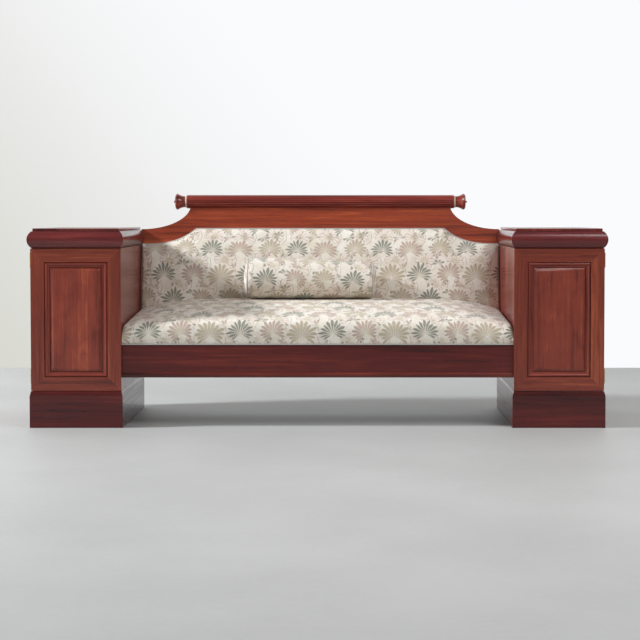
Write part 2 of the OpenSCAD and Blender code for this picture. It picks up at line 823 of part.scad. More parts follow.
module seat_board(x0, x1, d0, d1, z0, z1) {
    on_seat() translate([x0, d0, z0]) cube([x1 - x0, d1 - d0, z1 - z0]);
}

module seat_front_rail() {
    color(mahogany) seat_board(-half_gap, half_gap, rail_set, rail_set + rail_t, rail_z, rail_top);
}

module seat_rail_bead() {
    color(mahogany) on_seat() translate([-half_gap, rail_set, rail_z])
        along_x(seat_gap) d_profile(rail_bead_h, rail_bead_out);
}

module seat_gimp() {
    color(pale_grey) on_seat() translate([-half_gap, rail_set, seat_low_z + soft_gap - gimp_w])
        along_x(seat_gap) d_profile(gimp_w, gimp_t);
}

module seat_back_rail() {
    color(beech) seat_board(-half_gap, half_gap, back_rail_d, back_face_d, inner_rail_z, rail_top);
}

module seat_end_rails() {
    color(beech) for (side = [-1, 1]) {
        on_side(side) difference() {
            translate([-rail_t, rail_set + rail_t, inner_rail_z])
                cube([rail_t, back_rail_d - rail_set - rail_t, inner_rail_h]);
            for (d = bolt_ds) {
                translate([-bolt_l, d, bolt_z]) rotate([0, 90, 0]) cylinder(d = bolt_d, h = bolt_l + eps);
            }
        }
    }
}

module seat_cross_rails() {
    color(beech) for (x = [-seat_gap / 6, seat_gap / 6]) {
        seat_board(x - rail_t / 2, x + rail_t / 2, rail_set + rail_t, back_rail_d,
            inner_rail_z, rail_top - cross_drop);
    }
}

module bed_bolts() {
    color(brass) for (side = [-1, 1]) {
        on_side(side) for (d = bolt_ds) {
            translate([-bolt_l, d, bolt_z]) rotate([0, 90, 0]) {
                cylinder(d = bolt_d, h = bolt_l + board_t);
                translate([0, 0, bolt_l + board_t]) cylinder(d = bolt_head_d, h = bolt_head_h);
            }
        }
    }
}

module seat_webbing() {
    count = floor((seat_gap - web_w - 2 * strap_edge) / web_pitch / 2);
    color(hessian) {
        for (k = [-count : count]) {
            seat_board(k * web_pitch - web_w / 2, k * web_pitch + web_w / 2,
                rail_set + 2, back_face_d - 2, rail_top, rail_top + web_t);
        }
        for (d = long_strap_ds) {
            seat_board(strap_edge - half_gap, half_gap - strap_edge, d - web_w / 2, d + web_w / 2,
                rail_top + web_t, rail_top + 2 * web_t);
        }
    }
}

module seat_base_cloth() {
    color(hessian) seat_board(strap_edge - half_gap, half_gap - strap_edge, rail_set + 2, back_face_d - 2,
        webbed_z - cloth_t, webbed_z);
}

module seat_dust_cover() {
    color(hessian) seat_board(-half_gap + 1, half_gap - 1, rail_set + rail_t, back_face_d,
        inner_rail_z - cloth_t, inner_rail_z);
}

module seat_cushion() {
    color(cream) on_seat() lofted([for (x = seat_xs) seat_section(x)]);
}

// Back

module back_posts() {
    post_top_s = crest_low_s;
    color(mahogany) on_seat() for (x = [-post_half_w, post_half_w - post_w]) {
        translate([x, 0, 0]) along_x(post_w) polygon([
            [back_face_d, inner_rail_z],
            [back_face_d, rail_top],
            [back_d(post_top_s, 0), back_z(post_top_s, 0)],
            [back_d(post_top_s, -back_t), back_z(post_top_s, -back_t)],
            [back_d(knee_s, -back_t), back_z(knee_s, -back_t)],
            [back_face_d + back_t, inner_rail_z]
        ]);
    }
}

module back_lower_rail() {
    w = 2 * (post_half_w - post_w);
    color(beech) on_back() translate([-w / 2, 0, low_rail_up]) cube([w, back_t, low_rail_h]);
}

module crest_rail() {
    right = sweep(crest_x, post_half_w, crest_s, crest_end_s);
    color(mahogany) difference() {
        on_back() plate(back_t) polygon(concat(
            [[-post_half_w, crest_low_s], [post_half_w, crest_low_s]],
            [for (k = [len(right) - 1 : -1 : 0]) right[k]],
            [for (p = right) [-p[0], p[1]]]
        ));
        for (side = [-1, 1]) {
            on_side(side) translate([-cap_over, 0, cap_z]) rotate([90, 0, 90])
                along_x(arm_d + back_t) cap_profile(post_gap);
        }
    }
}

module back_webbing() {
    low = low_rail_up + 5;
    high = crest_low_s + 25;
    count = floor((pad_half_w - web_w) / back_web_pitch);
    color(hessian) on_back() {
        for (k = [-count : count]) {
            translate([k * back_web_pitch - web_w / 2, -back_web_t, low])
                cube([web_w, back_web_t, high - low]);
        }
        for (q = [0.25, 0.5, 0.75]) {
            translate([20 - pad_half_w, -2 * back_web_t, mix(low, high, q) - web_w / 2])
                cube([2 * (pad_half_w - 20), back_web_t, web_w]);
        }
    }
}

module back_outer_cover() {
    color(hessian) on_back() translate([4 - back_half_w, back_t, knee_s + 2])
        cube([2 * (back_half_w - 4), cloth_t, crest_low_s + 20 - knee_s - 2]);
}

module back_pad() {
    color(cream) on_back() lofted([for (x = pad_xs) pad_section(x)]);
}

module back_gimp() {
    outer = pad_rim(pad_gimp_w);
    inner = pad_rim(soft_gap);
    color(pale_grey) on_back() translate([0, -gimp_t, 0]) plate(gimp_t) polygon(concat(
        [[back_half_w, low_rail_up], [pad_half_w + soft_gap, low_rail_up]],
        [for (k = [len(inner) - 1 : -1 : 0]) inner[k]],
        [for (p = inner) [-p[0], p[1]]],
        [[-pad_half_w - soft_gap, low_rail_up], [-back_half_w, low_rail_up]],
        mirrored(outer),
        outer
    ));
}

// Top bar: its profile is drawn in depth and height along the rake

module bar_profile() {
    reed_a = (reed_top_a - reed_low_a) / reeds;
    reed_r = bar_r * sin(reed_a / 2) / (1 + sin(reed_a / 2));
    reach = 2 * bar_r;
    difference() {
        circle(r = bar_r);
        polygon(concat([[0, 0]],
            [for (k = [0 : 4]) let(a = mix(reed_low_a, reed_top_a, k / 4)) reach * [-cos(a), sin(a)]]));
    }
    circle(r = bar_r - 2 * reed_r + 0.8);
    for (k = [0.5 : reeds - 0.5]) {
        a = reed_low_a + k * reed_a;
        translate((bar_r - reed_r) * [-cos(a), sin(a)]) circle(r = reed_r + 0.1, $fn = 32);
    }
}

module top_bar() {
    color(mahogany) on_back() translate([0, bar_set, bar_s]) difference() {
        translate([-bar_half_l, 0, 0]) along_x(2 * bar_half_l) bar_profile();
        translate([-groove_half_l, -bar_set, -2 * bar_r])
            cube([2 * groove_half_l, back_t, 2 * bar_r + crest_s - bar_s]);
        for (turn = [-90, 90]) {
            rotate([0, turn, 0]) translate([0, 0, bar_half_l - tenon_l])
                cylinder(d = tenon_d, h = tenon_l + eps);
        }
    }
}

// Places a turned piece at both ends of the bar, with its foot u past the bar's end
module at_bar_ends(u) {
    on_back() translate([0, bar_set, bar_s]) for (turn = [-90, 90]) {
        rotate([0, turn, 0]) translate([0, 0, bar_half_l + u]) children();
    }
}

module bar_collars() {
    color(pale_grey) at_bar_ends(0) difference() {
        rotate_extrude() polygon([
            [0, 0],
            [collar_d / 2 - 1, 0],
            [collar_d / 2, 1],
            [collar_d / 2, collar_l - 1],
            [collar_d / 2 - 1, collar_l],
            [0, collar_l]
        ]);
        translate([0, 0, -eps]) cylinder(d = tenon_d, h = collar_l + 2 * eps);
    }
}

module finials() {
    flare_l = finial_l - 2 * lip_r;
    neck_r = neck_d / 2;
    flare = [for (k = [0 : 8]) [neck_r + (lip_d / 2 - neck_r) * pow(k / 8, 2.2), flare_l * k / 8]];
    lip = [for (a = [0 : 30 : 90]) [lip_d / 2 - 2 * lip_r * (1 - cos(a)), flare_l + 2 * lip_r * sin(a)]];
    color(mahogany) at_bar_ends(collar_l) {
        rotate_extrude() polygon(concat([[0, 0]], flare, lip, [[0, finial_l]]));
        translate([0, 0, -collar_l - tenon_l]) cylinder(d = tenon_d, h = collar_l + tenon_l);
    }
}

module finial_buttons() {
    r = button_d / 2;
    color(mahogany) at_bar_ends(collar_l + finial_l) rotate_extrude() polygon(concat(
        [[0, 0]],
        [for (a = [0 : 15 : 90]) [r * cos(a), (button_l - 2) * sin(a) + 2 * min(1, a / 15)]]
    ));
}

// Bolster

module at_bolster() {
    on_seat() translate([bolster_x, bolster_at[0], bolster_at[1]])
        rotate([0, bolster_lean, 0]) rotate([0, 0, bolster_lean]) rotate([0, 90, 0]) children();
}

module bolster() {
    steps = 12;
    body = [for (k = [-steps : steps]) let(q = k / steps)
        [bolster_radius(q * bolster_flat / bolster_end), q * bolster_flat]];
    function shoulder(way) = [for (a = [15 : 15 : 90])
        [bolster_radius(way * bolster_flat / bolster_end) - bolster_shoulder * (1 - cos(a)),
            way * (bolster_flat + bolster_shoulder * sin(a))]];
    function dome(way) = let(r = bolster_radius(way * bolster_flat / bolster_end) - bolster_shoulder)
        [for (q = [0.75 : -0.25 : 0.25]) [r * q, way * (bolster_end + bolster_dome * (1 - q * q))]];
    ends_low = concat(shoulder(-1), dome(-1), [[0, -bolster_end - bolster_dome]]);
    color(cream) at_bolster() difference() {
        rotate_extrude($fn = 128) polygon(concat(
            [for (k = [len(ends_low) - 1 : -1 : 0]) ends_low[k]],
            body,
            shoulder(1),
            dome(1),
            [[0, bolster_end + bolster_dome]]
        ));
        piping_rings(soft_gap);
    }
}

module piping_rings(extra) {
    for (way = [-1, 1]) {
        r = bolster_radius(way * bolster_flat / bolster_end) - bolster_shoulder * (1 - cos(45));
        translate([0, 0, way * (bolster_flat + bolster_shoulder * sin(45))])
            rotate_extrude($fn = 128) translate([r, 0]) circle(d = piping_d + 2 * extra, $fn = 32);
    }
}

module bolster_piping() {
    color(pale_grey) at_bolster() piping_rings(0);
}

plinth(-1);  // left_plinth
inner_side(-1);  // left_inner_side
outer_side(-1);  // left_outer_side
back_board(-1);  // left_back_board
level_board(-1, plinth_h);  // left_bottom_board
level_board(-1, cap_z - board_t);  // left_top_board
shelf(-1);  // left_shelf
cap_moulding(-1);  // left_cap_moulding
cap_board(-1);  // left_cap_board
door_frame(-1);  // left_door_frame
door_moulding(-1);  // left_door_moulding
door_panel(-1);  // left_door_panel
door_leaves(-1);  // left_door_leaves
strike_plate(-1);  // left_strike_plate
door_screws(-1);  // left_door_screws
plinth(1);  // right_plinth
inner_side(1);  // right_inner_side
outer_side(1);  // right_outer_side
back_board(1);  // right_back_board
level_board(1, plinth_h);  // right_bottom_board
level_board(1, cap_z - board_t);  // right_top_board
shelf(1);  // right_shelf
cap_moulding(1);  // right_cap_moulding
cap_board(1);  // right_cap_board
door_frame(1);  // right_door_frame
door_moulding(1);  // right_door_moulding
door_panel(1);  // right_door_panel
door_leaves(1);  // right_door_leaves
strike_plate(1);  // right_strike_plate
door_screws(1);  // right_door_screws
shelf_cleats();
cupboard_hinge_leaves();
hinge_pins();
hinge_screws();
ball_catches();
seat_front_rail();
seat_rail_bead();
seat_back_rail();
seat_end_rails();
seat_cross_rails();
bed_bolts();
seat_webbing();
seat_base_cloth();
seat_dust_cover();
seat_cushion();
seat_gimp();
back_posts();
back_lower_rail();
crest_rail();
back_webbing();
back_outer_cover();
back_pad();
back_gimp();
top_bar();
bar_collars();
finials();
finial_buttons();
bolster();
bolster_piping();
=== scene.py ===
import json
import math
import zlib

import bmesh
import bpy
import numpy as np
from mathutils import Matrix, Vector

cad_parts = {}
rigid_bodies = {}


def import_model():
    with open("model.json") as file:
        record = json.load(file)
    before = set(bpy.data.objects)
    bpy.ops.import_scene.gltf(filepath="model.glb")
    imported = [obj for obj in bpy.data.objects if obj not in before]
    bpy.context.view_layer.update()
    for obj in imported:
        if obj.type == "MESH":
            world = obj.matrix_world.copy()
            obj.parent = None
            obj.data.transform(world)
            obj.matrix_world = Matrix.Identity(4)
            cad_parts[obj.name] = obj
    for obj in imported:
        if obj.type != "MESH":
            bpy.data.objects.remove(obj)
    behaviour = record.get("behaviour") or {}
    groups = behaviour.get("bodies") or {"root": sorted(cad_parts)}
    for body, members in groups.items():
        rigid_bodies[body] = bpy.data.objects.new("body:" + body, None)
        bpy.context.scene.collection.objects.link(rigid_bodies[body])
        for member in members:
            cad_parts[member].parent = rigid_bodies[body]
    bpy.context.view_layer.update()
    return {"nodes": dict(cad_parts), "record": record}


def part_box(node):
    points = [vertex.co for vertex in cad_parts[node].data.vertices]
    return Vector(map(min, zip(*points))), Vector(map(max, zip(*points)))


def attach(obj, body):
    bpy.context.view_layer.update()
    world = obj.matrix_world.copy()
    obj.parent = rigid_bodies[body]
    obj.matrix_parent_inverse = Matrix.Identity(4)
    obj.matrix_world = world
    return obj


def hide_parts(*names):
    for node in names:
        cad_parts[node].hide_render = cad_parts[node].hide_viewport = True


for stray in list(bpy.data.objects):
    bpy.data.objects.remove(stray)
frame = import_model()
nodes = frame["nodes"]
mm = 0.001

# Places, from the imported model
front_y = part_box("left_door_frame")[0].y
rail_low, rail_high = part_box("seat_front_rail")
rail_top = rail_high.z
seat_low, seat_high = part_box("seat_cushion")
arm_inner_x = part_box("right_inner_side")[0].x

# Sizes of the soft pieces, as in the part
back_face_y = front_y + 527 * mm
rake = math.radians(11)
pad_half_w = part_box("back_pad")[1].x
pad_sweep_w, pad_sweep_power = 222 * mm, 2.85
pad_low_s, pad_end_rise, crest_above_pad = 20 * mm, 1.2 * mm, 104 * mm
pad_back_t = 3.3 * mm
pad_edge = 6 * mm
pad_crown = 36 * mm
trim_w, trim_t, trim_gap = 5 * mm, 3 * mm, 0.3 * mm
seat_front_h, seat_back_h = 72 * mm, 97 * mm
seat_front_crown, seat_back_crown = 24 * mm, 53 * mm
seat_belly, seat_roll, seat_end_roll = 7 * mm, 44 * mm, 14 * mm
seat_swell, seat_draw = 4 * mm, 2 * mm
bolster_r, bolster_l = 81 * mm, 521 * mm
bolster_draw, bolster_taper, bolster_shoulder, bolster_dome = 2 * mm, 22 * mm, 30 * mm, 8 * mm
piping_r = 3.5 * mm
strap_w, strap_t, strap_wave, strap_step = 50 * mm, 1.6 * mm, 45 * mm, 12 * mm
strap_first, strap_rows_pitch, strap_pitch, strap_pairs = 47 * mm, 112.5 * mm, 112 * mm, 6
back_strap_low_s, back_strap_t, back_strap_pitch, back_strap_pairs = 17 * mm, 1.1 * mm, 150 * mm, 4
back_strap_middle_t = 1.5 * mm
cloth_t, cloth_cell, cloth_hem, cross_rails_pitch = 0.8 * mm, 14 * mm, 14 * mm, 1484 / 3 * mm
back_rail_t, back_cloth_lap, tack_inset, tack_lift = 26 * mm, 20 * mm, 9 * mm, 2.2 * mm

# The woven pattern repeats over this width and height
repeat_w, repeat_h = 350 * mm, 310 * mm


# Camera, at the photograph's viewing angle

def make_camera():
    camera = bpy.data.cameras.new("camera")
    camera.lens = 90
    camera.sensor_width = 36
    camera.shift_x, camera.shift_y = -0.0452, -0.069
    camera.clip_end = 60
    holder = bpy.data.objects.new("camera", camera)
    bpy.context.scene.collection.objects.link(holder)
    holder.location = (0.1185, -6.359, 0.807)
    holder.rotation_euler = (math.radians(90 - 2.2), 0, 0)
    bpy.context.scene.camera = holder


# Shader building

class Shader:
    """Adds nodes to one node tree; a value that is a socket is linked, any other is set."""

    def __init__(self, tree):
        self.tree = tree

    def add(self, kind, values=None, **settings):
        node = self.tree.nodes.new(kind)
        for name, setting in settings.items():
            setattr(node, name, setting)
        for key, value in (values or {}).items():
            if isinstance(value, bpy.types.NodeSocket):
                self.tree.links.new(value, node.inputs[key])
            else:
                node.inputs[key].default_value = value
        return node

    def math(self, operation, a, b=0.0, c=0.0):
        return self.add("ShaderNodeMath", {0: a, 1: b, 2: c}, operation=operation).outputs[0]

    def times(self, a, b):
        return self.math("MULTIPLY", a, b)

    def plus(self, a, b):
        return self.math("ADD", a, b)

    def times_plus(self, a, b, c):
        return self.math("MULTIPLY_ADD", a, b, c)

    def vector(self, operation, a, b=(0, 0, 0), c=(0, 0, 0)):
        return self.add("ShaderNodeVectorMath", {0: a, 1: b, 2: c}, operation=operation).outputs[0]

    def stretch(self, place, scales):
        return self.vector("MULTIPLY", place, scales)

    def noise(self, place, scale=1.0, detail=2.0, rough=0.5, distortion=0.0):
        values = {"Vector": place, "Scale": scale, "Detail": detail, "Roughness": rough,
                  "Distortion": distortion}
        return self.add("ShaderNodeTexNoise", values).outputs["Fac"]

    def span(self, value, low, high, to_low=0.0, to_high=1.0):
        values = {0: value, 1: low, 2: high, 3: to_low, 4: to_high}
        return self.add("ShaderNodeMapRange", values, interpolation_type="SMOOTHSTEP").outputs[0]

    def mix(self, factor, a, b, blend="MIX"):
        node = self.add("ShaderNodeMix", {0: factor, 6: a, 7: b}, data_type="RGBA", blend_type=blend)
        return node.outputs[2]

    def split(self, vector):
        return self.add("ShaderNodeSeparateXYZ", {0: vector}).outputs

    def join(self, x=0.0, y=0.0, z=0.0):
        return self.add("ShaderNodeCombineXYZ", {0: x, 1: y, 2: z}).outputs[0]

    def attribute(self, name):
        return self.add("ShaderNodeAttribute", attribute_name=name).outputs["Vector"]

    def bump(self, height, distance, strength=1.0):
        values = {"Height": height, "Distance": distance, "Strength": strength}
        return self.add("ShaderNodeBump", values).outputs[0]


def colour(red, green, blue):
    """A linear colour from one written in sRGB, 0 to 255."""
    def linear(value):
        value /= 255
        return value / 12.92 if value <= 0.04045 else ((value + 0.055) / 1.055) ** 2.4
    return (linear(red), linear(green), linear(blue), 1.0)


def new_material(name):
    material = bpy.data.materials.new(name)
    material.use_nodes = True
    material.node_tree.nodes.clear()
    return material, Shader(material.node_tree)


def finish_material(shader, values):
    surface = shader.add("ShaderNodeBsdfPrincipled", values)
    shader.add("ShaderNodeOutputMaterial", {"Surface": surface.outputs[0]})


def wood(name, dark, middle, light, polish=1.0, ribbon=0.0):
    """Straight-grained wood: x of the grain attribute runs along the board, y and z across it."""
    material, s = new_material(name)
    place = s.attribute("grain")
    broad = s.noise(s.stretch(place, (1.1, 9, 9)), 1.0, 3, 0.55, 0.4)
    streak = s.noise(s.stretch(place, (2.6, 95, 95)), 1.0, 4, 0.6, 0.25)
    fibre = s.noise(s.stretch(place, (9, 520, 520)), 1.0, 3, 0.6)
    pore = s.noise(s.stretch(place, (34, 1300, 1300)), 1.0, 1, 0.5)
    mottle = s.noise(s.stretch(place, (11, 17, 17)), 1.0, 2, 0.5, 0.8)
    tone = s.times_plus(broad, 0.7, s.times(streak, 0.5))
    tone = s.times_plus(fibre, 0.3, tone)
    tone = s.times_plus(mottle, ribbon, tone)
    low, high = 0.56 + 0.5 * ribbon, 0.95 + 0.5 * ribbon
    paint = s.mix(s.span(tone, low, 0.5 * (low + high)), dark, middle)
    paint = s.mix(s.span(tone, 0.5 * (low + high), high), paint, light)
    pores = s.span(pore, 0.60, 0.70)
    paint = s.mix(s.times(pores, 0.45), paint, dark)
    # Darker in crevices and hollows: partly grime, partly painted shade in the mouldings' hollows and
    # joints.
    crevice = s.add("ShaderNodeAmbientOcclusion", {"Distance": 6 * mm}, samples=4).outputs["AO"]
    grime_and_painted_shade = s.span(crevice, 0.75, 0.35, 0.0, 0.45)
    paint = s.mix(grime_and_painted_shade, paint, (0.012, 0.006, 0.004, 1.0))
    # Lighter along the edges in patches: partly wear, partly painted highlight on the edges.
    edge = s.add("ShaderNodeAmbientOcclusion", {"Distance": 2.5 * mm}, samples=4, inside=True).outputs["AO"]
    worn_and_highlit = s.times(s.span(edge, 0.8, 0.5), s.span(mottle, 0.42, 0.62))
    paint = s.mix(s.times(worn_and_highlit, 0.45), paint, light)
    paint = s.mix(1.0, paint, s.attribute("tone"), "MULTIPLY")
    rough = s.span(streak, 0.3, 0.7, 0.41 - 0.13 * polish, 0.32 - 0.12 * polish)
    waviness = s.noise(s.stretch(place, (7, 14, 14)), 1.0, 1)
    height = s.times_plus(pores, -0.12, s.times(waviness, 1.0 * polish))
    height = s.times_plus(fibre, 0.10, height)
    finish_material(s, {
        "Base Color": paint,
        "Roughness": rough,
        "Specular IOR Level": 0.34,
        "Coat Weight": 0.24 * polish,
        "Coat Roughness": 0.16,
        "Normal": s.bump(height, 0.5 * mm, 0.35),
    })
    return material


def metal(name, bright, dull, roughness):
    material, s = new_material(name)
    place = s.add("ShaderNodeTexCoord").outputs["Object"]
    stain = s.span(s.noise(place, 160, 4, 0.6), 0.42, 0.66)
    scratch = s.noise(s.stretch(place, (900, 900, 90)), 1.0, 2)
    finish_material(s, {
        "Base Color": s.mix(stain, bright, dull),
        "Metallic": 1.0,
        "Roughness": s.times_plus(stain, 0.22, roughness),
        "Normal": s.bump(scratch, 0.1 * mm, 0.2),
    })
    return material


def cells(s, place, columns, rows, shift, wobble):
    """Divides the woven repeat into cells, each row set over a little from the one before. Returns the
    place from about the middle of its own cell, three chances of the cell, and its two numbers."""
    x, y, _ = s.split(place)
    down = s.times_plus(y, rows / repeat_h, shift)
    row = s.math("FLOOR", down)
    along = s.times_plus(x, columns / repeat_w, s.times_plus(row, 1 / rows, shift))
    column = s.math("FLOOR", along)
    repeats = s.math("FLOOR", s.math("DIVIDE", s.plus(row, 0.5), rows))
    first = s.math("WRAP", s.math("SUBTRACT", column, repeats), columns, 0.0)
    second = s.math("WRAP", row, rows, 0.0)
    number = s.join(first, second, 10 * shift + columns)
    chances = s.split(s.add("ShaderNodeTexWhiteNoise", {"Vector": number}).outputs["Color"])
    own = []
    for at, whole, size, chance in ((along, column, repeat_w / columns, chances[0]),
                                    (down, row, repeat_h / rows, chances[1])):
        middle = s.math("SUBTRACT", s.math("SUBTRACT", at, whole), 0.5)
        moved = s.times_plus(chance, wobble, -wobble / 2)
        own.append(s.times_plus(middle, size, moved))
    return own, chances, (first, second)


def fan(s, at, turn, chance, radius, petals, spread, width, point, bend=0.0, fall=0.0):
    """A fan of petals round a place. Halo covers the whole fan, fill its petals, line their edges and
    vein their middles; reach grows outwards from the heart."""
    x, y = at
    distance = s.math("SQRT", s.times_plus(x, x, s.times(y, y)))
    reach = s.math("DIVIDE", distance, radius)
    angle = s.math("WRAP", s.plus(s.math("ARCTAN2", x, y), turn), math.pi, -math.pi)
    opened = s.times_plus(s.times(reach, reach), bend, 1.0)
    step = math.radians(spread) / petals
    across = s.math("DIVIDE", angle, s.times(opened, step))
    petal = s.math("ROUND", across)
    off = s.math("ABSOLUTE", s.math("SUBTRACT", across, petal))
    outermost = (petals - 1) / 2
    inside = s.math("LESS_THAN", s.math("ABSOLUTE", petal), outermost + 0.25)
    seed = s.times_plus(petal, 7.13, s.times(chance, 31.7))
    luck = s.math("FRACT", s.times(s.math("SINE", seed), 97.3))
    share = s.math("DIVIDE", petal, outermost)
    length = s.times_plus(s.times(share, share), -fall, 0.76)
    length = s.times_plus(luck, 0.22, length)
    along = s.math("MINIMUM", s.math("DIVIDE", reach, length), 1.0)
    swell = s.math("SINE", s.times(s.math("POWER", along, 1.5), math.pi))
    edge = s.math("POWER", s.math("MAXIMUM", swell, 0.0), point)
    inwards = s.math("SUBTRACT", s.times(edge, width), off)
    near = s.times(s.math("LESS_THAN", reach, s.plus(length, 0.03)), inside)
    return {
        "halo": s.times(s.span(reach, 1.0, 0.92), inside),
        "fill": s.times(s.span(inwards, -0.04, 0.05), near),
        "line": s.times(s.span(s.math("ABSOLUTE", inwards), 0.09, 0.02), near),
        "vein": s.times(s.span(off, 0.14, 0.03), near),
        "reach": reach,
    }


def put_fan(s, paint, ground, made, tone, edge_tone, halo, line, vein):
    paint = s.mix(s.times(made["halo"], halo), paint, ground)
    paint = s.mix(s.times(made["fill"], 0.93), paint, tone)
    paint = s.mix(s.times(s.times(made["vein"], made["fill"]), vein), paint, edge_tone)
    return s.mix(s.times(made["line"], line), paint, edge_tone)


def turned(s, chance, degrees):
    return s.times_plus(chance, 2 * math.radians(degrees), -math.radians(degrees))


def blooms_and_stems(s, drawn, paint, ground):
    """Pale outlined blooms, each with a thin arc of stem beside it."""
    (x, y), chances, _ = cells(s, drawn, 3, 3, 0.5, 20 * mm)
    pen = colour(172, 157, 143)
    ring = s.math("SQRT", s.times_plus(x, x, s.times(y, y)))
    stem = s.span(s.math("ABSOLUTE", s.math("SUBTRACT", ring, 47 * mm)), 1.7 * mm, 0.8 * mm)
    below = s.math("LESS_THAN", y, s.times(x, 0.6))
    paint = s.mix(s.times(s.times(stem, below), 0.7), paint, pen)
    made = fan(s, (x, y), turned(s, chances[2], 180), chances[0], 46 * mm, 7, 360, 0.5, 0.38)
    tone = s.mix(s.span(made["reach"], 0.12, 0.5), colour(200, 188, 158), colour(226, 213, 203))
    return put_fan(s, paint, ground, made, tone, pen, 0.9, 0.85, 0.4)


def sprigs(s, drawn, paint, ground):
    """Small leaves, in nearly every cell."""
    at, chances, _ = cells(s, drawn, 5, 5, 0.25, 18 * mm)
    made = fan(s, at, turned(s, chances[2], 180), chances[1], 31 * mm, 5, 190, 0.36, 0.8, 0.3, 0.1)
    grown = s.math("GREATER_THAN", chances[0], 0.08)
    for name in ("halo", "fill", "line", "vein"):
        made[name] = s.times(made[name], grown)
    tone = s.mix(s.math("GREATER_THAN", chances[1], 0.5), colour(156, 150, 134), colour(182, 163, 150))
    return put_fan(s, paint, ground, made, tone, colour(134, 128, 117), 0.0, 0.3, 0.0)


def jacquard(name):
    """Cream cloth woven with fans of slate, mauve and tan leaves, pale blooms, sprigs and thin stems."""
    material, s = new_material(name)
    place = s.add("ShaderNodeUVMap", uv_map="cloth").outputs[0]
    wander = s.add("ShaderNodeTexNoise", {"Vector": place, "Scale": 42.0, "Detail": 1.0}).outputs["Color"]
    wander = s.vector("MULTIPLY", s.vector("SUBTRACT", wander, (0.5, 0.5, 0.5)), (9 * mm, 9 * mm, 0))
    drawn = s.vector("ADD", place, wander)
    cloud = s.span(s.noise(place, 14, 3, 0.6), 0.35, 0.7)
    ground = s.mix(cloud, colour(229, 223, 213), colour(216, 207, 191))
    paint = blooms_and_stems(s, drawn, ground, ground)
    paint = sprigs(s, drawn, paint, ground)
    (x, y), chances, numbers = cells(s, drawn, 3, 3, 0.0, 16 * mm)
    kind = s.math("WRAP", s.plus(*numbers), 3.0, 0.0)
    slate, tan = s.math("LESS_THAN", kind, 0.5), s.math("GREATER_THAN", kind, 1.5)
    heart_low = s.plus(y, 15 * mm)
    radius = s.times_plus(chances[1], 16 * mm, 54 * mm)
    made = fan(s, (x, heart_low), turned(s, chances[2], 55), chances[0], radius, 13, 244,
               s.times_plus(slate, -0.03, 0.38), s.times_plus(slate, 0.3, 0.6), 0.14, 0.16)
    tip = s.mix(slate, s.mix(tan, colour(190, 167, 155), colour(188, 178, 154)), colour(144, 146, 134))
    heart = s.mix(slate, colour(206, 194, 166), colour(168, 164, 140))
    pen = s.mix(slate, colour(152, 131, 119), colour(100, 102, 94))
    tone = s.mix(s.span(made["reach"], 0.12, 0.62), heart, tip)
    paint = put_fan(s, paint, ground, made, tone, pen, 0.6, 0.6, 0.5)
    u, v, _ = s.split(place)
    warp = s.math("SINE", s.times(u, 2 * math.pi / (0.9 * mm)))
    weft = s.math("SINE", s.times(v, 2 * math.pi / (1.1 * mm)))
    weave = s.times(warp, weft)
    slub = s.noise(s.stretch(place, (900, 90, 1)), 1.0, 2)
    slub_across = s.noise(s.stretch(place, (90, 900, 1)), 1.0, 2)
    threads = s.plus(s.times(slub, 0.5), s.times(slub_across, 0.5))
    shade = s.span(threads, 0.3, 0.7, 0.86, 1.1)
    paint = s.mix(1.0, paint, s.join(shade, shade, shade), "MULTIPLY")
    height = s.times_plus(weave, 0.25, s.times_plus(made["fill"], 0.5, threads))
    finish_material(s, {
        "Base Color": paint,
        "Roughness": 0.85,
        "Sheen Weight": 0.12,
        "Sheen Roughness": 0.5,
        "Specular IOR Level": 0.25,
        "Normal": s.bump(height, 0.35 * mm, 0.6),
    })
    return material


def plain_weave(name, light, dark, pitch):
    """Coarse plain cloth, with its threads along its length and width."""
    material, s = new_material(name)
    place = s.add("ShaderNodeUVMap", uv_map="cloth").outputs[0]
    u, v, _ = s.split(place)
    across = s.math("ABSOLUTE", s.math("SINE", s.times(u, math.pi / pitch)))
    along = s.math("ABSOLUTE", s.math("SINE", s.times(v, math.pi / pitch)))
    weave = s.times(across, along)
    slub = s.noise(s.stretch(place, (700, 60, 1)), 1.0, 3)
    tone = s.times_plus(weave, 0.5, s.times(slub, 0.6))
    finish_material(s, {
        "Base Color": s.mix(s.span(tone, 0.2, 0.9), dark, light),
        "Roughness": 0.92,
        "Sheen Weight": 0.1,
        "Normal": s.bump(tone, 0.4 * mm, 0.7),
    })
    return material


def braid(name, light, dark):
    """Woven gimp and covered cord, with fine slanting threads."""
    material, s = new_material(name)
    place = s.add("ShaderNodeUVMap", uv_map="cloth").outputs[0]
    u, v, _ = s.split(place)
    slant = s.math("SINE", s.times(s.times_plus(v, 1.2, u), 2 * math.pi / (2.2 * mm)))
    slub = s.noise(s.stretch(place, (400, 900, 1)), 1.0, 2)
    tone = s.times_plus(slant, 0.2, slub)
    finish_material(s, {
        "Base Color": s.mix(s.span(tone, 0.2, 0.8), dark, light),
        "Roughness": 0.7,
        "Sheen Weight": 0.15,
        "Normal": s.bump(tone, 0.3 * mm, 0.6),
    })
    return material


def bone(name):
    material, s = new_material(name)
    place = s.add("ShaderNodeTexCoord").outputs["Object"]
    vein = s.noise(s.stretch(place, (60, 420, 420)), 1.0, 3)
    finish_material(s, {
        "Base Color": s.mix(s.span(vein, 0.35, 0.7), colour(214, 204, 190), colour(182, 166, 146)),
        "Roughness": 0.38,
        "Coat Weight": 0.2,
        "Coat Roughness": 0.2,
        "Normal": s.bump(vein, 0.2 * mm, 0.3),
    })
    return material


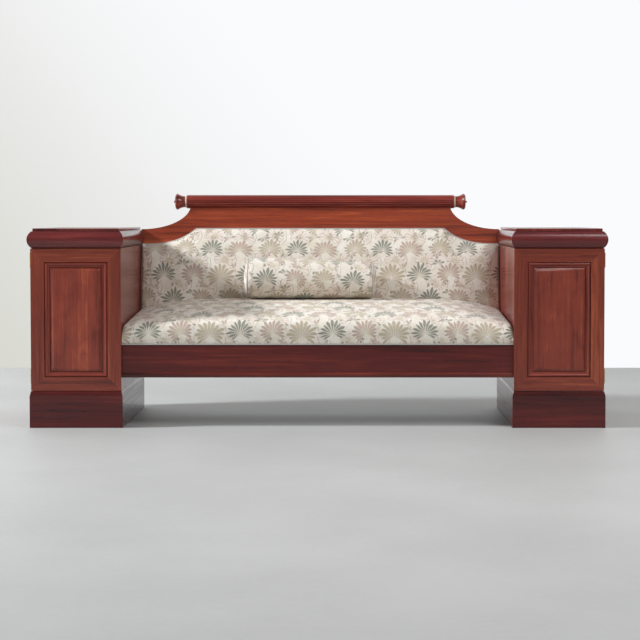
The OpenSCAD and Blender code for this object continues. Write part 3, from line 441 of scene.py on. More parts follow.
materials = {
    "mahogany": wood("mahogany", colour(66, 22, 18), colour(120, 47, 36), colour(158, 73, 50)),
    "dark_mahogany": wood("dark_mahogany", colour(54, 18, 16), colour(92, 34, 28), colour(122, 50, 38)),
    "flame_mahogany": wood("flame_mahogany", colour(94, 35, 29), colour(124, 50, 40), colour(154, 70, 50),
                           ribbon=0.3),
    "pine": wood("pine", colour(150, 112, 70), colour(186, 148, 100), colour(206, 172, 126), polish=0.0),
    "beech": wood("beech", colour(140, 104, 70), colour(176, 138, 98), colour(196, 160, 118), polish=0.0),
    "pale_wood": bone("pale_wood"),
    "brass": metal("brass", colour(206, 168, 92), colour(140, 104, 52), 0.28),
    "steel": metal("steel", colour(150, 150, 152), colour(96, 92, 90), 0.38),
    "jacquard": jacquard("jacquard"),
    "gimp": braid("gimp", colour(206, 204, 198), colour(150, 148, 144)),
    "hessian": plain_weave("hessian", colour(176, 142, 98), colour(116, 88, 54), 1.6 * mm),
    "dust_cloth": plain_weave("dust_cloth", colour(96, 84, 68), colour(58, 48, 38), 0.8 * mm),
}


# Wood and metal pieces of the part

grain_upright = ("inner_side", "outer_side", "back_board", "door_panel")
crisp = ("plinth", "inner_side", "outer_side", "board", "shelf", "cleats", "cap_moulding", "door_frame",
         "door_panel", "rail", "posts", "strike_plate")


def solids_of(points, polygons):
    """Number of the solid that each vertex belongs to."""
    _, place = np.unique(np.round(points, 6), axis=0, return_inverse=True)
    place = place.ravel()
    parent = list(range(place.max() + 1))

    def top(k):
        while parent[k] != k:
            parent[k] = parent[parent[k]]
            k = parent[k]
        return k

    for polygon in polygons:
        first = top(place[polygon[0]])
        for vertex in polygon[1:]:
            parent[top(place[vertex])] = first
    return np.array([top(k) for k in place])


# How much lighter or darker than its slot's wood a piece is, in red, green and blue
tones = {
    # The front rail's dark tone is partly its darker wood and partly painted shade, for where it sits back
    # under the seat.
    "seat_front_rail": (0.48, 0.32, 0.44),
    "cap_moulding": (0.66, 0.58, 1.0),
    "cap_board": (0.7, 0.65, 0.9),
    "crest_rail": (1.4, 1.5, 1.0),
    "top_bar": (1.05, 0.95, 1.1),
    "plinth": (0.7, 0.46, 0.62),
    "door_moulding": (1.85, 2.05, 1.8),
    "door_frame": (1.0, 1.22, 1.15),
    "door_panel": (1.14, 1.32, 1.2),
    "outer_side": (1.0, 1.2, 1.1),
    "inner_side": (0.95, 1.0, 1.15),
}


def give_grain(node, name):
    """Writes each board's own place, along and across its grain, and its tone, as attributes."""
    mesh = node.data
    points = np.array([v.co for v in mesh.vertices], float)
    solid = solids_of(points, [list(p.vertices) for p in mesh.polygons])
    out, tint = np.zeros_like(points), np.ones_like(points)
    base = next((tone for ending, tone in tones.items() if name.endswith(ending)), (1, 1, 1))
    chance = np.random.default_rng(zlib.crc32(name.encode()))
    for number in np.unique(solid):
        own = solid == number
        size = np.ptp(points[own], axis=0)
        axis = 2 if name.endswith(grain_upright) else int(size.argmax())
        order = [axis, (axis + 1) % 3, (axis + 2) % 3]
        out[own] = points[own][:, order] + chance.uniform(0, 6, 3)
        tint[own] = np.array(base) * chance.uniform(0.93, 1.07)
    for layer, values in (("grain", out), ("tone", tint)):
        attribute = mesh.attributes.new(layer, "FLOAT_VECTOR", "POINT")
        attribute.data.foreach_set("vector", values.astype(np.float32).ravel())


def smoothing_group():
    """Joins a piece's corners and clears its stored normals, so that its edges can be eased."""
    tree = bpy.data.node_groups.new("joined", "GeometryNodeTree")
    tree.interface.new_socket("Geometry", in_out="INPUT", socket_type="NodeSocketGeometry")
    tree.interface.new_socket("Geometry", in_out="OUTPUT", socket_type="NodeSocketGeometry")
    s = Shader(tree)
    given, made = s.add("NodeGroupInput"), s.add("NodeGroupOutput")
    merged = s.add("GeometryNodeMergeByDistance", {"Geometry": given.outputs[0], "Distance": 0.01 * mm})
    bare = s.add("GeometryNodeRemoveAttribute", {"Geometry": merged.outputs[0], "Name": "custom_normal"})
    smooth = s.add("GeometryNodeSetShadeSmooth", {"Geometry": bare.outputs[0], "Shade Smooth": True})
    tree.links.new(smooth.outputs[0], made.inputs[0])
    return tree


def ease_edges(node, width, joined):
    modifier = node.modifiers.new("joined", "NODES")
    modifier.node_group = joined
    bevel = node.modifiers.new("eased", "BEVEL")
    bevel.width = width
    bevel.segments = 2
    bevel.limit_method = "ANGLE"
    bevel.angle_limit = math.radians(35)
    node.modifiers.new("normals", "WEIGHTED_NORMAL").weight = 80


def dress_nodes():
    joined = smoothing_group()
    for row in frame["record"]["subparts"]:
        name, slot = row["node"], row["material_slot"]
        node = nodes[name]
        node.data.materials.clear()
        node.data.materials.append(materials[slot])
        if slot in ("mahogany", "dark_mahogany", "flame_mahogany", "pine", "beech"):
            give_grain(node, name)
            if any(part in name for part in crisp):
                ease_edges(node, 0.35 * mm if name.endswith(("frame", "panel")) else 0.9 * mm, joined)


# Meshes made from rows of points

class Builder:
    """Collects points, faces and their places on the cloth, and makes one mesh of them."""

    def __init__(self):
        self.points, self.faces, self.corners = [], [], []

    def face(self, vertices, places):
        self.faces.append(tuple(vertices))
        self.corners += [(place[0], place[1]) for place in places]

    def loft(self, loops, uv=None, ring=False, shut=True):
        """Skins closed loops of points; ring joins the last loop to the first, else the ends may be shut."""
        rows, columns = loops.shape[:2]
        if uv is None:
            uv = lengthwise_uv(loops, ring)
        base = len(self.points)
        self.points += [tuple(p) for p in loops.reshape(-1, 3)]
        for i in range(rows if ring else rows - 1):
            for j in range(columns):
                k, n = (j + 1) % columns, (i + 1) % rows
                quad = [(i, j), (i, k), (n, k), (n, j)]
                places = [uv[i, j], uv[i, j + 1], uv[i + 1, j + 1], uv[i + 1, j]]
                self.face([base + a * columns + b for a, b in quad], places)
        if shut and not ring:
            for i, own in ((0, range(columns)), (rows - 1, range(columns)[::-1])):
                self.face([base + i * columns + j for j in own], [uv[i, j] for j in own])
        return base

    def fill_end(self, loop, first, end_uv, shares):
        """Closes a loop, whose points are numbered from first, with rings that shrink to its middle."""
        columns, middle = len(loop), loop.mean(axis=0)
        before = [first + j for j in range(columns)]
        where = {first + j: end_uv(loop[j]) for j in range(columns)}
        for share in shares:
            own = [len(self.points) + j for j in range(columns)]
            for j in range(columns):
                point = middle + (loop[j] - middle) * share
                self.points.append(tuple(point))
                where[own[j]] = end_uv(point)
            for j in range(columns):
                k = (j + 1) % columns
                quad = (before[j], before[k], own[k], own[j])
                self.face(quad, [where[v] for v in quad])
            before = own
        self.points.append(tuple(middle))
        hub = len(self.points) - 1
        where[hub] = end_uv(middle)
        for j in range(columns):
            corner = (before[j], before[(j + 1) % columns], hub)
            self.face(corner, [where[v] for v in corner])

    def piece(self, name, slot, body, *replaced):
        mesh = bpy.data.meshes.new(name)
        mesh.from_pydata(self.points, [], self.faces)
        layer = mesh.uv_layers.new(name="cloth")
        layer.data.foreach_set("uv", np.array(self.corners, np.float32).ravel())
        solid = bmesh.new()
        solid.from_mesh(mesh)
        bmesh.ops.recalc_face_normals(solid, faces=solid.faces)
        solid.to_mesh(mesh)
        solid.free()
        mesh.shade_smooth()
        mesh.materials.append(materials[slot])
        made = bpy.data.objects.new(name, mesh)
        bpy.context.scene.collection.objects.link(made)
        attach(made, body)
        if replaced:
            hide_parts(*replaced)
        return made


def arc_lengths(points, closed=True):
    steps = np.linalg.norm(np.roll(points, -1, axis=0) - points, axis=1)
    return np.concatenate([[0], np.cumsum(steps if closed else steps[:-1])])


def lengthwise_uv(loops, ring=False):
    """Places on the cloth: the first runs from loop to loop, the second round each loop."""
    run = arc_lengths(loops.mean(axis=1), ring)
    around_loop = arc_lengths(loops[0])
    return np.array([[(u, v) for v in around_loop] for u in run])


def coordinates(piece, kind="co"):
    """Place, or with kind "normal" the direction, of each vertex."""
    out = np.zeros(len(piece.data.vertices) * 3)
    piece.data.vertices.foreach_get(kind, out)
    return out.reshape(-1, 3)


def set_coordinates(piece, points):
    piece.data.vertices.foreach_set("co", np.asarray(points, np.float32).ravel())
    piece.data.update()


def inflate(piece, held, inset, pressure, cap, below, above):
    """Swells the cover like stuffed cloth. It starts inset inside its full shape, is held at some
    vertices, moves no further than cap, and stays between below and above that shape's surface."""
    full = coordinates(piece)
    normal = coordinates(piece, "normal")
    start = full - normal * np.broadcast_to(inset, len(full))[:, None]
    set_coordinates(piece, start)
    moved = simulated(piece, held, pressure, cap, start)
    shift = moved - full
    outwards = (shift * normal).sum(axis=1, keepdims=True)
    shift += normal * (np.clip(outwards, -below, above) - outwards)
    set_coordinates(piece, full + shift)
    return full


def simulated(piece, held, pressure, cap, start):
    group = piece.vertex_groups.new(name="held")
    group.add([int(k) for k in np.flatnonzero(held)], 1.0, "REPLACE")
    cloth = piece.modifiers.new("cloth", "CLOTH")
    settings = cloth.settings
    settings.quality = 6
    settings.mass = 0.25
    settings.tension_stiffness = settings.compression_stiffness = 25
    settings.shear_stiffness = 12
    settings.bending_stiffness = 1.5
    settings.vertex_group_mass = "held"
    settings.use_pressure = True
    settings.uniform_pressure_force = pressure
    settings.effector_weights.gravity = 0
    scene = bpy.context.scene
    cloth.point_cache.frame_start, cloth.point_cache.frame_end = 1, 20
    for number in range(1, 21):
        scene.frame_set(number)
    shaped = piece.evaluated_get(bpy.context.evaluated_depsgraph_get())
    moved = np.zeros(len(start) * 3)
    shaped.data.vertices.foreach_get("co", moved)
    shift = moved.reshape(-1, 3) - start
    piece.modifiers.remove(cloth)
    scene.frame_set(1)
    length = np.linalg.norm(shift, axis=1, keepdims=True) + 1e-9
    return start + shift / length * cap * np.tanh(length / cap)


def refine(piece):
    piece.modifiers.new("refined", "SUBSURF").levels = 1
    piece.modifiers["refined"].render_levels = 1


# Shapes of the soft pieces: s runs up the rake from the seat rails' top, t forwards from the back's face

def place_on_back(x, s, t):
    return np.array([x, back_face_y + s * math.sin(rake) - t * math.cos(rake),
                     rail_top + s * math.cos(rake) + t * math.sin(rake)])


def s_range(node):
    """Lowest and highest place up the rake of a node that lies on the back's face."""
    points = coordinates(nodes[node])
    s = (points[:, 1] - back_face_y) * math.sin(rake) + (points[:, 2] - rail_top) * math.cos(rake)
    return s.min(), s.max()


pad_top_s = s_range("crest_rail")[1] - crest_above_pad
pad_end_s = (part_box("left_cap_moulding")[0].z + pad_end_rise - rail_top) / math.cos(rake)


def pad_top(x):
    share = min(max((pad_half_w - abs(x)) / pad_sweep_w, 0.0), 1.0)
    return pad_end_s + (pad_top_s - pad_end_s) * share ** pad_sweep_power


def pad_thickness(x, s):
    sideways = 1 - min(abs(x) / pad_half_w, 1) ** 4
    upwards = 1 - min(abs(2 * (s - pad_low_s) / (pad_top(x) - pad_low_s) - 1), 1) ** 4
    return pad_back_t + pad_edge + pad_crown * math.sqrt(sideways * upwards)


def pad_face_y(x, z):
    s = (z - rail_top) / math.cos(rake)
    for _ in range(3):
        s = (z - rail_top - pad_thickness(x, s) * math.sin(rake)) / math.cos(rake)
    return place_on_back(x, s, pad_thickness(x, s))[1]


def seat_height(x, v):
    bulge = 1 - (abs(x) / seat_high.x) ** 6
    q = min(max((abs(x) - seat_high.x + seat_end_roll) / seat_end_roll, 0), 1)
    drop = seat_end_roll * (1 - math.sqrt(1 - q * q))
    edge = seat_front_h + (seat_back_h - seat_front_h) * v
    crown = seat_front_crown + (seat_back_crown - seat_front_crown) * math.sqrt(v)
    return edge - drop + (crown + seat_belly * math.sin(math.pi * v)) * bulge


def seat_loop(x):
    """The seat's section at x, from the front's foot over the top to the back's foot and back below."""
    h0, h1 = seat_height(x, 0), seat_height(x, 1)
    face_h = h0 - seat_roll
    back_y = min(pad_face_y(x, seat_low.z + q * h1) for q in np.linspace(0, 1, 9)) - 1 * mm
    limit_y, roll_y = back_y - seat_end_roll, seat_low.y + seat_roll
    draw = seat_swell + seat_draw
    out = []
    for q in np.append(0, np.linspace(0.03, 1, 8)):
        out.append((seat_low.y + draw * (1 - math.sin(math.pi / 2 * q)), seat_low.z + face_h * q))
    for a in np.linspace(0, math.pi / 2, 9)[1:]:
        out.append((seat_low.y + seat_roll * (1 - math.cos(a)),
                    seat_low.z + face_h + seat_roll * math.sin(a)))
    for v in np.linspace(0, 1, 43)[1:]:
        out.append((roll_y + (limit_y - roll_y) * v, seat_low.z + seat_height(x, v)))
    for a in np.linspace(0, math.pi / 2, 4)[1:]:
        out.append((limit_y + seat_end_roll * math.sin(a),
                    seat_low.z + h1 - seat_end_roll * (1 - math.cos(a))))
    for q in np.linspace(0, 1, 8)[1:]:
        out.append((back_y, seat_low.z + (h1 - seat_end_roll) * (1 - q)))
    foot_y = out[0][0]
    for q in np.append(np.linspace(0, 1, 10)[1:-1], 0.995):
        out.append((back_y + (foot_y - back_y) * q, seat_low.z))
    return np.array([(x, y, z) for y, z in out])


def spread_uv(loops, u_of_row, v_shift=0.0):
    rows = []
    for loop, u in zip(loops, u_of_row):
        lengths = arc_lengths(loop)
        rows.append(np.stack([np.full(len(lengths), u), lengths + v_shift], axis=1))
    return np.array(rows)


def edge_spacing(half, roll, step):
    """Places from -half to half, closer together in the rolls at both ends."""
    flat = half - roll
    inner = list(np.linspace(-flat, flat, int(2 * flat / step) + 1))
    ends = [flat + roll * math.sin(a) for a in np.radians([18, 36, 54, 72, 90])]
    return [-e for e in reversed(ends)] + inner + ends


def padded_cover(name, loops, uv, end_uv, shares, body, node):
    builder = Builder()
    rows, columns = loops.shape[:2]
    base = builder.loft(loops, uv, shut=False)
    for first, loop in ((base, loops[0]), (base + (rows - 1) * columns, loops[-1])):
        builder.fill_end(loop, first, end_uv, shares)
    return builder.piece(name, "jacquard", body, node)


def make_seat():
    xs = edge_spacing(seat_high.x, seat_end_roll, 10.5 * mm)
    loops = np.array([seat_loop(x) for x in xs])
    piece = padded_cover("seat_upholstery", loops, spread_uv(loops, xs), lambda p: (p[1] - 0.5, p[2]),
                         (0.75, 0.5, 0.25), "root", "seat_cushion")
    full = coordinates(piece)
    up = full[:, 2] - seat_low.z
    held = (up < 4 * mm) | (abs(full[:, 0]) > seat_high.x - 2 * mm)
    inset = np.where(held, 0, 2 * mm * np.clip(up / (30 * mm), 0, 1))
    inflate(piece, held, inset, 5.0, 6 * mm, 1.2 * mm, 0.3 * mm)
    shaped = coordinates(piece)
    shaped[:, 0] = np.clip(shaped[:, 0], -seat_high.x, seat_high.x)
    set_coordinates(piece, shaped)
    refine(piece)


def make_back_pad():
    xs = edge_spacing(pad_half_w, 14 * mm, 10.5 * mm)
    loops = []
    for x in xs:
        top = pad_top(x)
        shares = (1 - np.cos(np.linspace(0, math.pi, 45))) / 2
        front = [(s, pad_thickness(x, s)) for s in pad_low_s + (top - pad_low_s) * shares]
        behind = [(s, pad_back_t) for s in np.linspace(top, pad_low_s, 10)]
        loops.append([place_on_back(x, s, t) for s, t in front + behind])
    loops = np.array(loops)
    piece = padded_cover("back_upholstery", loops, spread_uv(loops, xs, 0.12), lambda p: (p[1], p[2]),
                         (0.75, 0.5, 0.25), "root", "back_pad")
    full = coordinates(piece)
    thick = (full[:, 2] - rail_top) * math.sin(rake) - (full[:, 1] - back_face_y) * math.cos(rake)
    held = thick < pad_back_t + pad_edge + 1 * mm
    inset = 2 * mm * np.clip((thick - pad_back_t - pad_edge) / (15 * mm), 0, 1)
    inflate(piece, held, inset, 5.0, 6 * mm, 1.2 * mm, 0.8 * mm)
    refine(piece)


def bolster_frame():
    """Where the bolster lies: z of the result runs from its left end to its right end."""
    points = coordinates(nodes["bolster_piping"])
    middle = points[:, 0].mean()
    left = Vector(points[points[:, 0] < middle].mean(axis=0))
    right = Vector(points[points[:, 0] >= middle].mean(axis=0))
    turn = (right - left).to_track_quat("Z", "Y")
    return Matrix.Translation((left + right) / 2) @ turn.to_matrix().to_4x4()


def bolster_radius(q):
    return bolster_r - bolster_draw * q * q - bolster_taper / 4 * q


def bolster_shoulder_points(way, angles):
    """Radius and place along the axis in the shoulder, from its body at 0 to its end face at 90."""
    end = bolster_l / 2
    flat = end - bolster_shoulder
    radius = bolster_radius(way * flat / end)
    return [(radius - bolster_shoulder * (1 - math.cos(a)), way * (flat + bolster_shoulder * math.sin(a)))
            for a in np.radians(angles)]


def make_bolster():
    place = bolster_frame()
    end = bolster_l / 2
    flat = end - bolster_shoulder
    body = [(bolster_radius(z / end), z) for z in np.linspace(-flat, flat, 56)[1:-1]]
    shoulder = np.linspace(90, 0, 9)
    profile = bolster_shoulder_points(-1, shoulder) + body + bolster_shoulder_points(1, shoulder[::-1])
    angles = np.linspace(0, 2 * math.pi, 80, endpoint=False)
    loops = np.array([[(r * math.cos(a), r * math.sin(a), z) for a in angles] for r, z in profile])
    run = arc_lengths(np.array(profile), False)
    turns = np.append(angles, 2 * math.pi)[::-1] * bolster_r
    uv = np.array([[(u, v) for v in turns] for u in run])
    piece = padded_cover("bolster_cushion", loops, uv, lambda p: (p[0], p[1]),
                         (0.85, 0.7, 0.55, 0.4, 0.25, 0.12), "bolster", "bolster")
    points = coordinates(piece)
    radius = np.hypot(points[:, 0], points[:, 1])
    for way in (-1, 1):
        disc_r = bolster_shoulder_points(way, [90])[0][0]
        at_end = way * points[:, 2] > end - 0.1 * mm
        share = np.clip(radius / disc_r, 0, 1)
        rise = bolster_dome * (1 - share ** 2)
        gathers = 0.7 * mm * np.cos(26 * np.arctan2(points[:, 1], points[:, 0])) * share
        points[:, 2] += way * at_end * (rise + gathers * (radius < disc_r - 1 * mm))
    set_coordinates(piece, points)
    seam_z = flat + bolster_shoulder * math.sin(math.pi / 4)
    held = (abs(abs(points[:, 2]) - seam_z) < 4 * mm) & (radius > 0.6 * bolster_r)
    inset = 1.6 * mm * (abs(points[:, 2]) < flat)
    inflate(piece, held, inset, 6.0, 5 * mm, 1.6 * mm, 0.4 * mm)
    piece.data.transform(place)
    refine(piece)
    make_piping(place)


def make_piping(place):
    builder = Builder()
    for way in (-1, 1):
        seam_r, seam_z = bolster_shoulder_points(way, [45])[0]
        loops = []
        for a in np.linspace(0, 2 * math.pi, 120, endpoint=False):
            section = np.linspace(0, 2 * math.pi, 12, endpoint=False)
            loops.append([((seam_r + piping_r * math.cos(b)) * math.cos(a),
                           (seam_r + piping_r * math.cos(b)) * math.sin(a), seam_z + piping_r * math.sin(b))
                          for b in section])
        builder.loft(np.array(loops), ring=True)
    piece = builder.piece("bolster_cord", "gimp", "bolster", "bolster_piping")
    piece.data.transform(place)


# Trim, straps and cloths

def make_trim(name, path, across, outwards, node):
    """A strip of gimp with a domed, twilled face along a path; across lies in its plane at each point."""
    profile = [(math.cos(a), max(math.sin(a), 0.0) ** 0.6) for a in np.linspace(math.pi, 0, 9)]
    run = arc_lengths(path, False)
    loops = []
    for p, w, u in zip(path, across, run):
        row = []
        for c, h in profile:
            twill = 0.5 + 0.5 * math.cos(2 * math.pi * (u + c * trim_w / 2) / (3 * mm))
            row.append(p + w * (trim_w / 2 * c) + outwards * (trim_t * h * (0.75 + 0.25 * twill)))
        loops.append(row)
    builder = Builder()
    builder.loft(np.array(loops))
    builder.piece(name, "gimp", "root", node)


def make_seat_trim():
    low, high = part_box("seat_gimp")
    xs = np.arange(low.x, high.x + 0.5 * mm, 1 * mm)
    path = np.array([(x, high.y, (low.z + high.z) / 2) for x in xs])
    make_trim("seat_trim", path, np.array([(0, 0, 1.0)] * len(xs)), np.array((0, -1.0, 0)), "seat_gimp")


def make_back_trim():
    """Follows the pad's edge from its lower left corner over the top to its lower right corner."""
    half = [(-pad_half_w, s) for s in np.arange(pad_low_s - 8 * mm, pad_end_s, 1 * mm)]
    half += [(x, pad_top(x)) for x in np.arange(-pad_half_w, 0, 1 * mm)]
    line = np.array(half + [(-x, s) for x, s in reversed(half)])
    line = line[np.append(True, np.linalg.norm(np.diff(line, axis=0), axis=1) > 0.2 * mm)]
    along = np.gradient(line, axis=0)
    for _ in range(4):
        along[1:-1] = (along[:-2] + along[1:-1] + along[2:]) / 3
    along /= np.linalg.norm(along, axis=1, keepdims=True)
    normal = np.stack([-along[:, 1], along[:, 0]], axis=1)
    line = line + normal * (trim_w / 2 + trim_gap)
    path = np.array([place_on_back(x, s, 0.0) for x, s in line])
    up = np.array([0, math.sin(rake), math.cos(rake)])
    across = np.array([np.array([n[0], 0, 0]) + up * n[1] for n in normal])
    make_trim("back_trim", path, across, np.array([0, -math.cos(rake), math.sin(rake)]), "back_gimp")


def add_strap(builder, start, end, across, up, thick, crossings, over):
    """A strap from start to end that passes over and under the straps that it crosses."""
    start, end, across, up = (np.array(v, float) for v in (start, end, across, up))
    length = np.linalg.norm(end - start)
    loops = []
    for share in np.linspace(0, 1, int(length / strap_step) + 2):
        at = share * length
        wave = 0.0
        for k, crossing in enumerate(crossings):
            near = max(0.0, math.cos(min(abs(at - crossing) / strap_wave, 1) * math.pi / 2)) ** 2
            wave += near * (1 if (k + over) % 2 else -1)
        middle = start + (end - start) * share + up * (wave * thick * 0.45)
        loops.append([middle + across * (strap_w / 2 * c) + up * (thick / 2 * h)
                      for c, h in ((-1, -0.6), (-0.97, -0.8), (0.97, -0.8), (1, -0.6), (1, 0.6), (0.97, 0.8),
                                   (-0.97, 0.8), (-1, 0.6))])
    builder.loft(np.array(loops))


def make_seat_straps():
    low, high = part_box("seat_webbing")
    depths = [front_y + strap_first + strap_rows_pitch * (k + 0.5) for k in range(4)]
    xs = [strap_pitch * k for k in range(-strap_pairs, strap_pairs + 1)]
    z = (low.z + high.z) / 2
    builder = Builder()
    for n, x in enumerate(xs):
        add_strap(builder, (x, low.y, z), (x, high.y, z), (1, 0, 0), (0, 0, 1), strap_t,
                  [d - low.y for d in depths], n)
    for n, y in enumerate(depths):
        add_strap(builder, (low.x, y, z), (high.x, y, z), (0, 1, 0), (0, 0, 1), strap_t,
                  [x - low.x for x in xs], n + 1)
    builder.piece("seat_straps", "hessian", "root", "seat_webbing")


def make_back_straps():
    low_s, high_s = back_strap_low_s, s_range("back_webbing")[1]
    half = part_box("back_webbing")[1].x
    xs = [back_strap_pitch * k for k in range(-back_strap_pairs, back_strap_pairs + 1)]
    rows = [low_s + (high_s - low_s) * q for q in (0.25, 0.5, 0.75)]
    up = (0, -math.cos(rake), math.sin(rake))
    along = (0, math.sin(rake), math.cos(rake))
    t = back_strap_middle_t
    builder = Builder()
    for n, x in enumerate(xs):
        add_strap(builder, place_on_back(x, low_s, t), place_on_back(x, high_s, t), (1, 0, 0), up,
                  back_strap_t, [s - low_s for s in rows], n)
    for n, s in enumerate(rows):
        add_strap(builder, place_on_back(-half, s, t), place_on_back(half, s, t), along, up,
                  back_strap_t, [x + half for x in xs], n + 1)
    builder.piece("back_straps", "hessian", "root", "back_webbing")


def make_cloth(name, slot, node, at, width, height, outwards, lines, hem=0.0):
    """A cloth of width by height, stretched and tacked along its edges and along the given lines."""
    outwards = np.array(outwards, float)
    columns, rows = int(width / cloth_cell), int(height / cloth_cell)
    grid, places = [], []
    for u in np.linspace(0, width, columns + 1):
        for v in np.linspace(0, height, rows + 1):
            edge = min(u, width - u, v, height - v, *[abs(u - line) for line in lines] or [width])
            slack = min(edge / (120 * mm), 1)
            ripple = math.sin(u / (31 * mm)) * math.sin(v / (43 * mm)) * 0.35 * mm
            gathers = 0.5 * mm * math.cos(2 * math.pi * (u + v) / (48 * mm)) * max(0, 1 - edge / (60 * mm))
            lift = cloth_t / 2 + (0.7 * mm if edge < hem else 0.0) + gathers * (edge > 1 * mm)
            grid.append(np.array(at(u, v)) + outwards * (lift + slack * (1.6 * mm + ripple)))
            places.append((u, v))
    builder = Builder()
    builder.points = [tuple(p) for p in grid]
    for i in range(columns):
        for j in range(rows):
            near, far = i * (rows + 1) + j, (i + 1) * (rows + 1) + j
            quad = [near, far, far + 1, near + 1]
            builder.face(quad, [places[k] for k in quad])
    piece = builder.piece(name, slot, "root", node)
    thickness = piece.modifiers.new("thickness", "SOLIDIFY")
    thickness.thickness = cloth_t
    thickness.offset = 0


def make_tacks(name, places, outwards, radius=4.5 * mm):
    """Domed tack heads."""
    outwards = Vector(outwards)
    turn = outwards.to_track_quat("Z", "Y").to_matrix()
    rings = ((1.0, 0.0), (0.97, 0.16), (0.8, 0.34), (0.45, 0.46), (0.15, 0.5))
    angles = np.linspace(0, 2 * math.pi, 12, endpoint=False)
    builder = Builder()
    for place in places:
        loops = []
        for share, rise in rings:
            ring = [Vector((share * math.cos(a), share * math.sin(a), rise)) for a in angles]
            loops.append([Vector(place) + radius * (turn @ point) for point in ring])
        builder.loft(np.array(loops))
    builder.piece(name, "brass", "root")


def edge_places(width, height, inset, pitch):
    """Places along the four sides of a rectangle, inset from its edges."""
    out = []
    across = np.linspace(inset, width - inset, int((width - 2 * inset) / pitch) + 1)
    upwards = np.linspace(inset, height - inset, int((height - 2 * inset) / pitch) + 1)
    for u in across:
        out += [(u, inset), (u, height - inset)]
    for v in upwards[1:-1]:
        out += [(inset, v), (width - inset, v)]
    return out


def make_cloths():
    low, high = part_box("seat_base_cloth")
    make_cloth("base_cloth", "hessian", "seat_base_cloth", lambda u, v: (low.x + u, low.y + v, low.z),
               high.x - low.x, high.y - low.y, (0, 0, 0.2), [])
    low_d, high_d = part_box("seat_dust_cover")
    width, height = high_d.x - low_d.x, high_d.y - low_d.y
    cross = [way * cross_rails_pitch / 2 - low_d.x for way in (-1, 1)]

    def below(u, v):
        return (low_d.x + u, low_d.y + v, high_d.z)

    make_cloth("dust_sheet", "dust_cloth", "seat_dust_cover", below, width, height, (0, 0, -1), cross,
               hem=cloth_hem)
    spots = [below(u, v) for u, v in edge_places(width, height, tack_inset, 55 * mm)]
    spots = [(x, y, z - tack_lift) for x, y, z in spots]
    make_tacks("dust_sheet_tacks", spots, (0, 0, -1), 3.5 * mm)
    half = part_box("back_outer_cover")[1].x
    low_s = back_rail_t * math.tan(rake / 2) + 2 * mm
    high_s = s_range("crest_rail")[0] + back_cloth_lap
    height = high_s - low_s
    outwards = (0, math.cos(rake), -math.sin(rake))

    def behind(u, v):
        return place_on_back(u - half, low_s + v, -back_rail_t)

    make_cloth("outside_back", "dust_cloth", "back_outer_cover", behind, 2 * half, height, outwards, [],
               hem=cloth_hem)
    shift = np.array(outwards) * tack_lift
    spots = [tuple(behind(u, v) + shift) for u, v in edge_places(2 * half, height, tack_inset, 45 * mm)]
    make_tacks("outside_back_tacks", spots, outwards)


# Stage and lights

def make_stage():
    floor = stage_plane("floor", [(-9, -8, 0), (9, -8, 0), (9, 6, 0), (-9, 6, 0)], concrete())
    wall = stage_plane("wall", [(-9, 2.04, 0), (9, 2.04, 0), (9, 2.04, 5), (-9, 2.04, 5)], wall_paint())


def stage_plane(name, points, material):
    mesh = bpy.data.meshes.new(name)
    mesh.from_pydata(points, [], [(0, 1, 2, 3)])
    mesh.materials.append(material)
    piece = bpy.data.objects.new(name, mesh)
    bpy.context.scene.collection.objects.link(piece)
    return piece


def concrete():
    material, s = new_material("concrete")
    place = s.add("ShaderNodeTexCoord").outputs["Object"]
    cloud = s.noise(place, 1.3, 5, 0.6)
    fine = s.noise(place, 40, 3, 0.6)
    tone = s.span(s.times_plus(fine, 0.25, cloud), 0.4, 0.85)
    finish_material(s, {
        "Base Color": s.mix(tone, colour(168, 168, 166), colour(177, 177, 175)),
        "Roughness": 0.55,
        "Normal": s.bump(fine, 0.5 * mm, 0.2),
    })
    return material


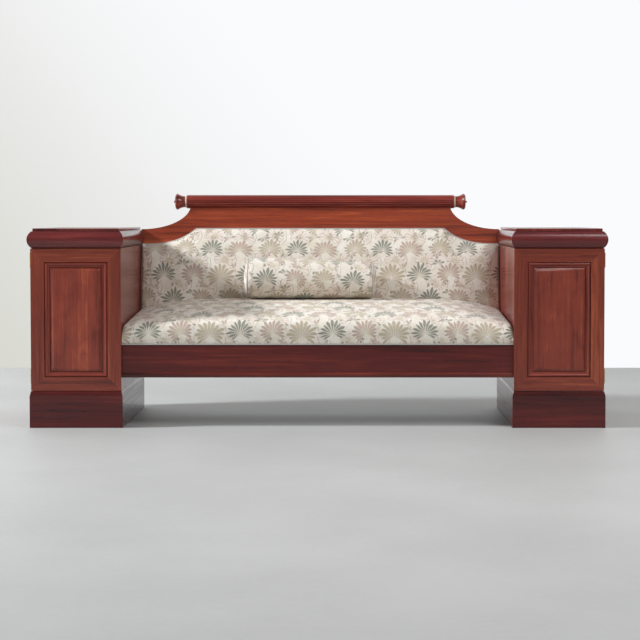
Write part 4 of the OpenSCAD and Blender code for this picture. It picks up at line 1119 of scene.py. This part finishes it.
def wall_paint():
    """Pale paint that is seen from the front only, so that the object shows from behind. Camera and glossy
    rays see it glow, greyer towards the lower left: painted shade on the wall.
    """
    material, s = new_material("wall_paint")
    x, _, z = s.split(s.add("ShaderNodeTexCoord").outputs["Object"])
    # Painted shade: the glow is greyer towards the lower left and white to the right.
    across = s.span(s.times_plus(z, 0.8, x), -2.2, 1.2)
    tone = s.mix(across, colour(214, 214, 206), colour(250, 251, 253))
    paint = s.add("ShaderNodeBsdfDiffuse", {"Color": colour(240, 242, 244)})
    glow = s.add("ShaderNodeEmission", {"Color": tone, "Strength": 1.0})
    rays = s.add("ShaderNodeLightPath").outputs
    seen = s.math("MAXIMUM", rays["Is Camera Ray"], rays["Is Glossy Ray"])
    front = s.add("ShaderNodeMixShader", {0: seen, 1: paint.outputs[0], 2: glow.outputs[0]})
    clear = s.add("ShaderNodeBsdfTransparent")
    behind = s.add("ShaderNodeNewGeometry").outputs["Backfacing"]
    both = s.add("ShaderNodeMixShader", {0: behind, 1: front.outputs[0], 2: clear.outputs[0]})
    s.add("ShaderNodeOutputMaterial", {"Surface": both.outputs[0]})
    return material


def area_light(name, place, aim, size, energy, tint):
    light = bpy.data.lights.new(name, "AREA")
    light.shape = "RECTANGLE"
    light.size, light.size_y = size
    light.energy = energy
    light.color = tint
    holder = bpy.data.objects.new(name, light)
    bpy.context.scene.collection.objects.link(holder)
    holder.location = place
    holder.rotation_euler = (Vector(aim) - Vector(place)).to_track_quat("-Z", "Y").to_euler()


def make_lights():
    area_light("key", (-6.6, -1.25, 4.1), (0.2, 0.1, 0.5), (0.8, 0.8), 760, (0.93, 0.965, 1.0))
    area_light("fill", (2.5, -2.5, 3.2), (0.6, 0, 0.5), (2.2, 1.8), 90, (0.98, 0.985, 1.0))
    area_light("window", (-3.8, -3.0, 1.5), (-0.4, -0.3, 0.5), (1.3, 2.2), 20, (0.9, 0.94, 1.0))
    world = bpy.data.worlds.new("world")
    bpy.context.scene.world = world
    world.use_nodes = True
    world.node_tree.nodes.clear()
    s = Shader(world.node_tree)
    rays = s.add("ShaderNodeLightPath").outputs
    seen = s.math("MAXIMUM", rays["Is Camera Ray"], rays["Is Transmission Ray"])
    light = s.add("ShaderNodeBackground", {"Color": colour(252, 249, 244), "Strength": 0.28})
    backdrop = s.add("ShaderNodeBackground", {"Color": colour(240, 243, 247), "Strength": 1.0})
    both = s.add("ShaderNodeMixShader", {0: seen, 1: light.outputs[0], 2: backdrop.outputs[0]})
    s.add("ShaderNodeOutputWorld", {"Surface": both.outputs[0]})


make_camera()
make_stage()
make_lights()
dress_nodes()
make_seat()
make_back_pad()
make_bolster()
make_seat_trim()
make_back_trim()
make_seat_straps()
make_back_straps()
make_cloths()

bpy.context.scene.view_settings.view_transform = "Standard"
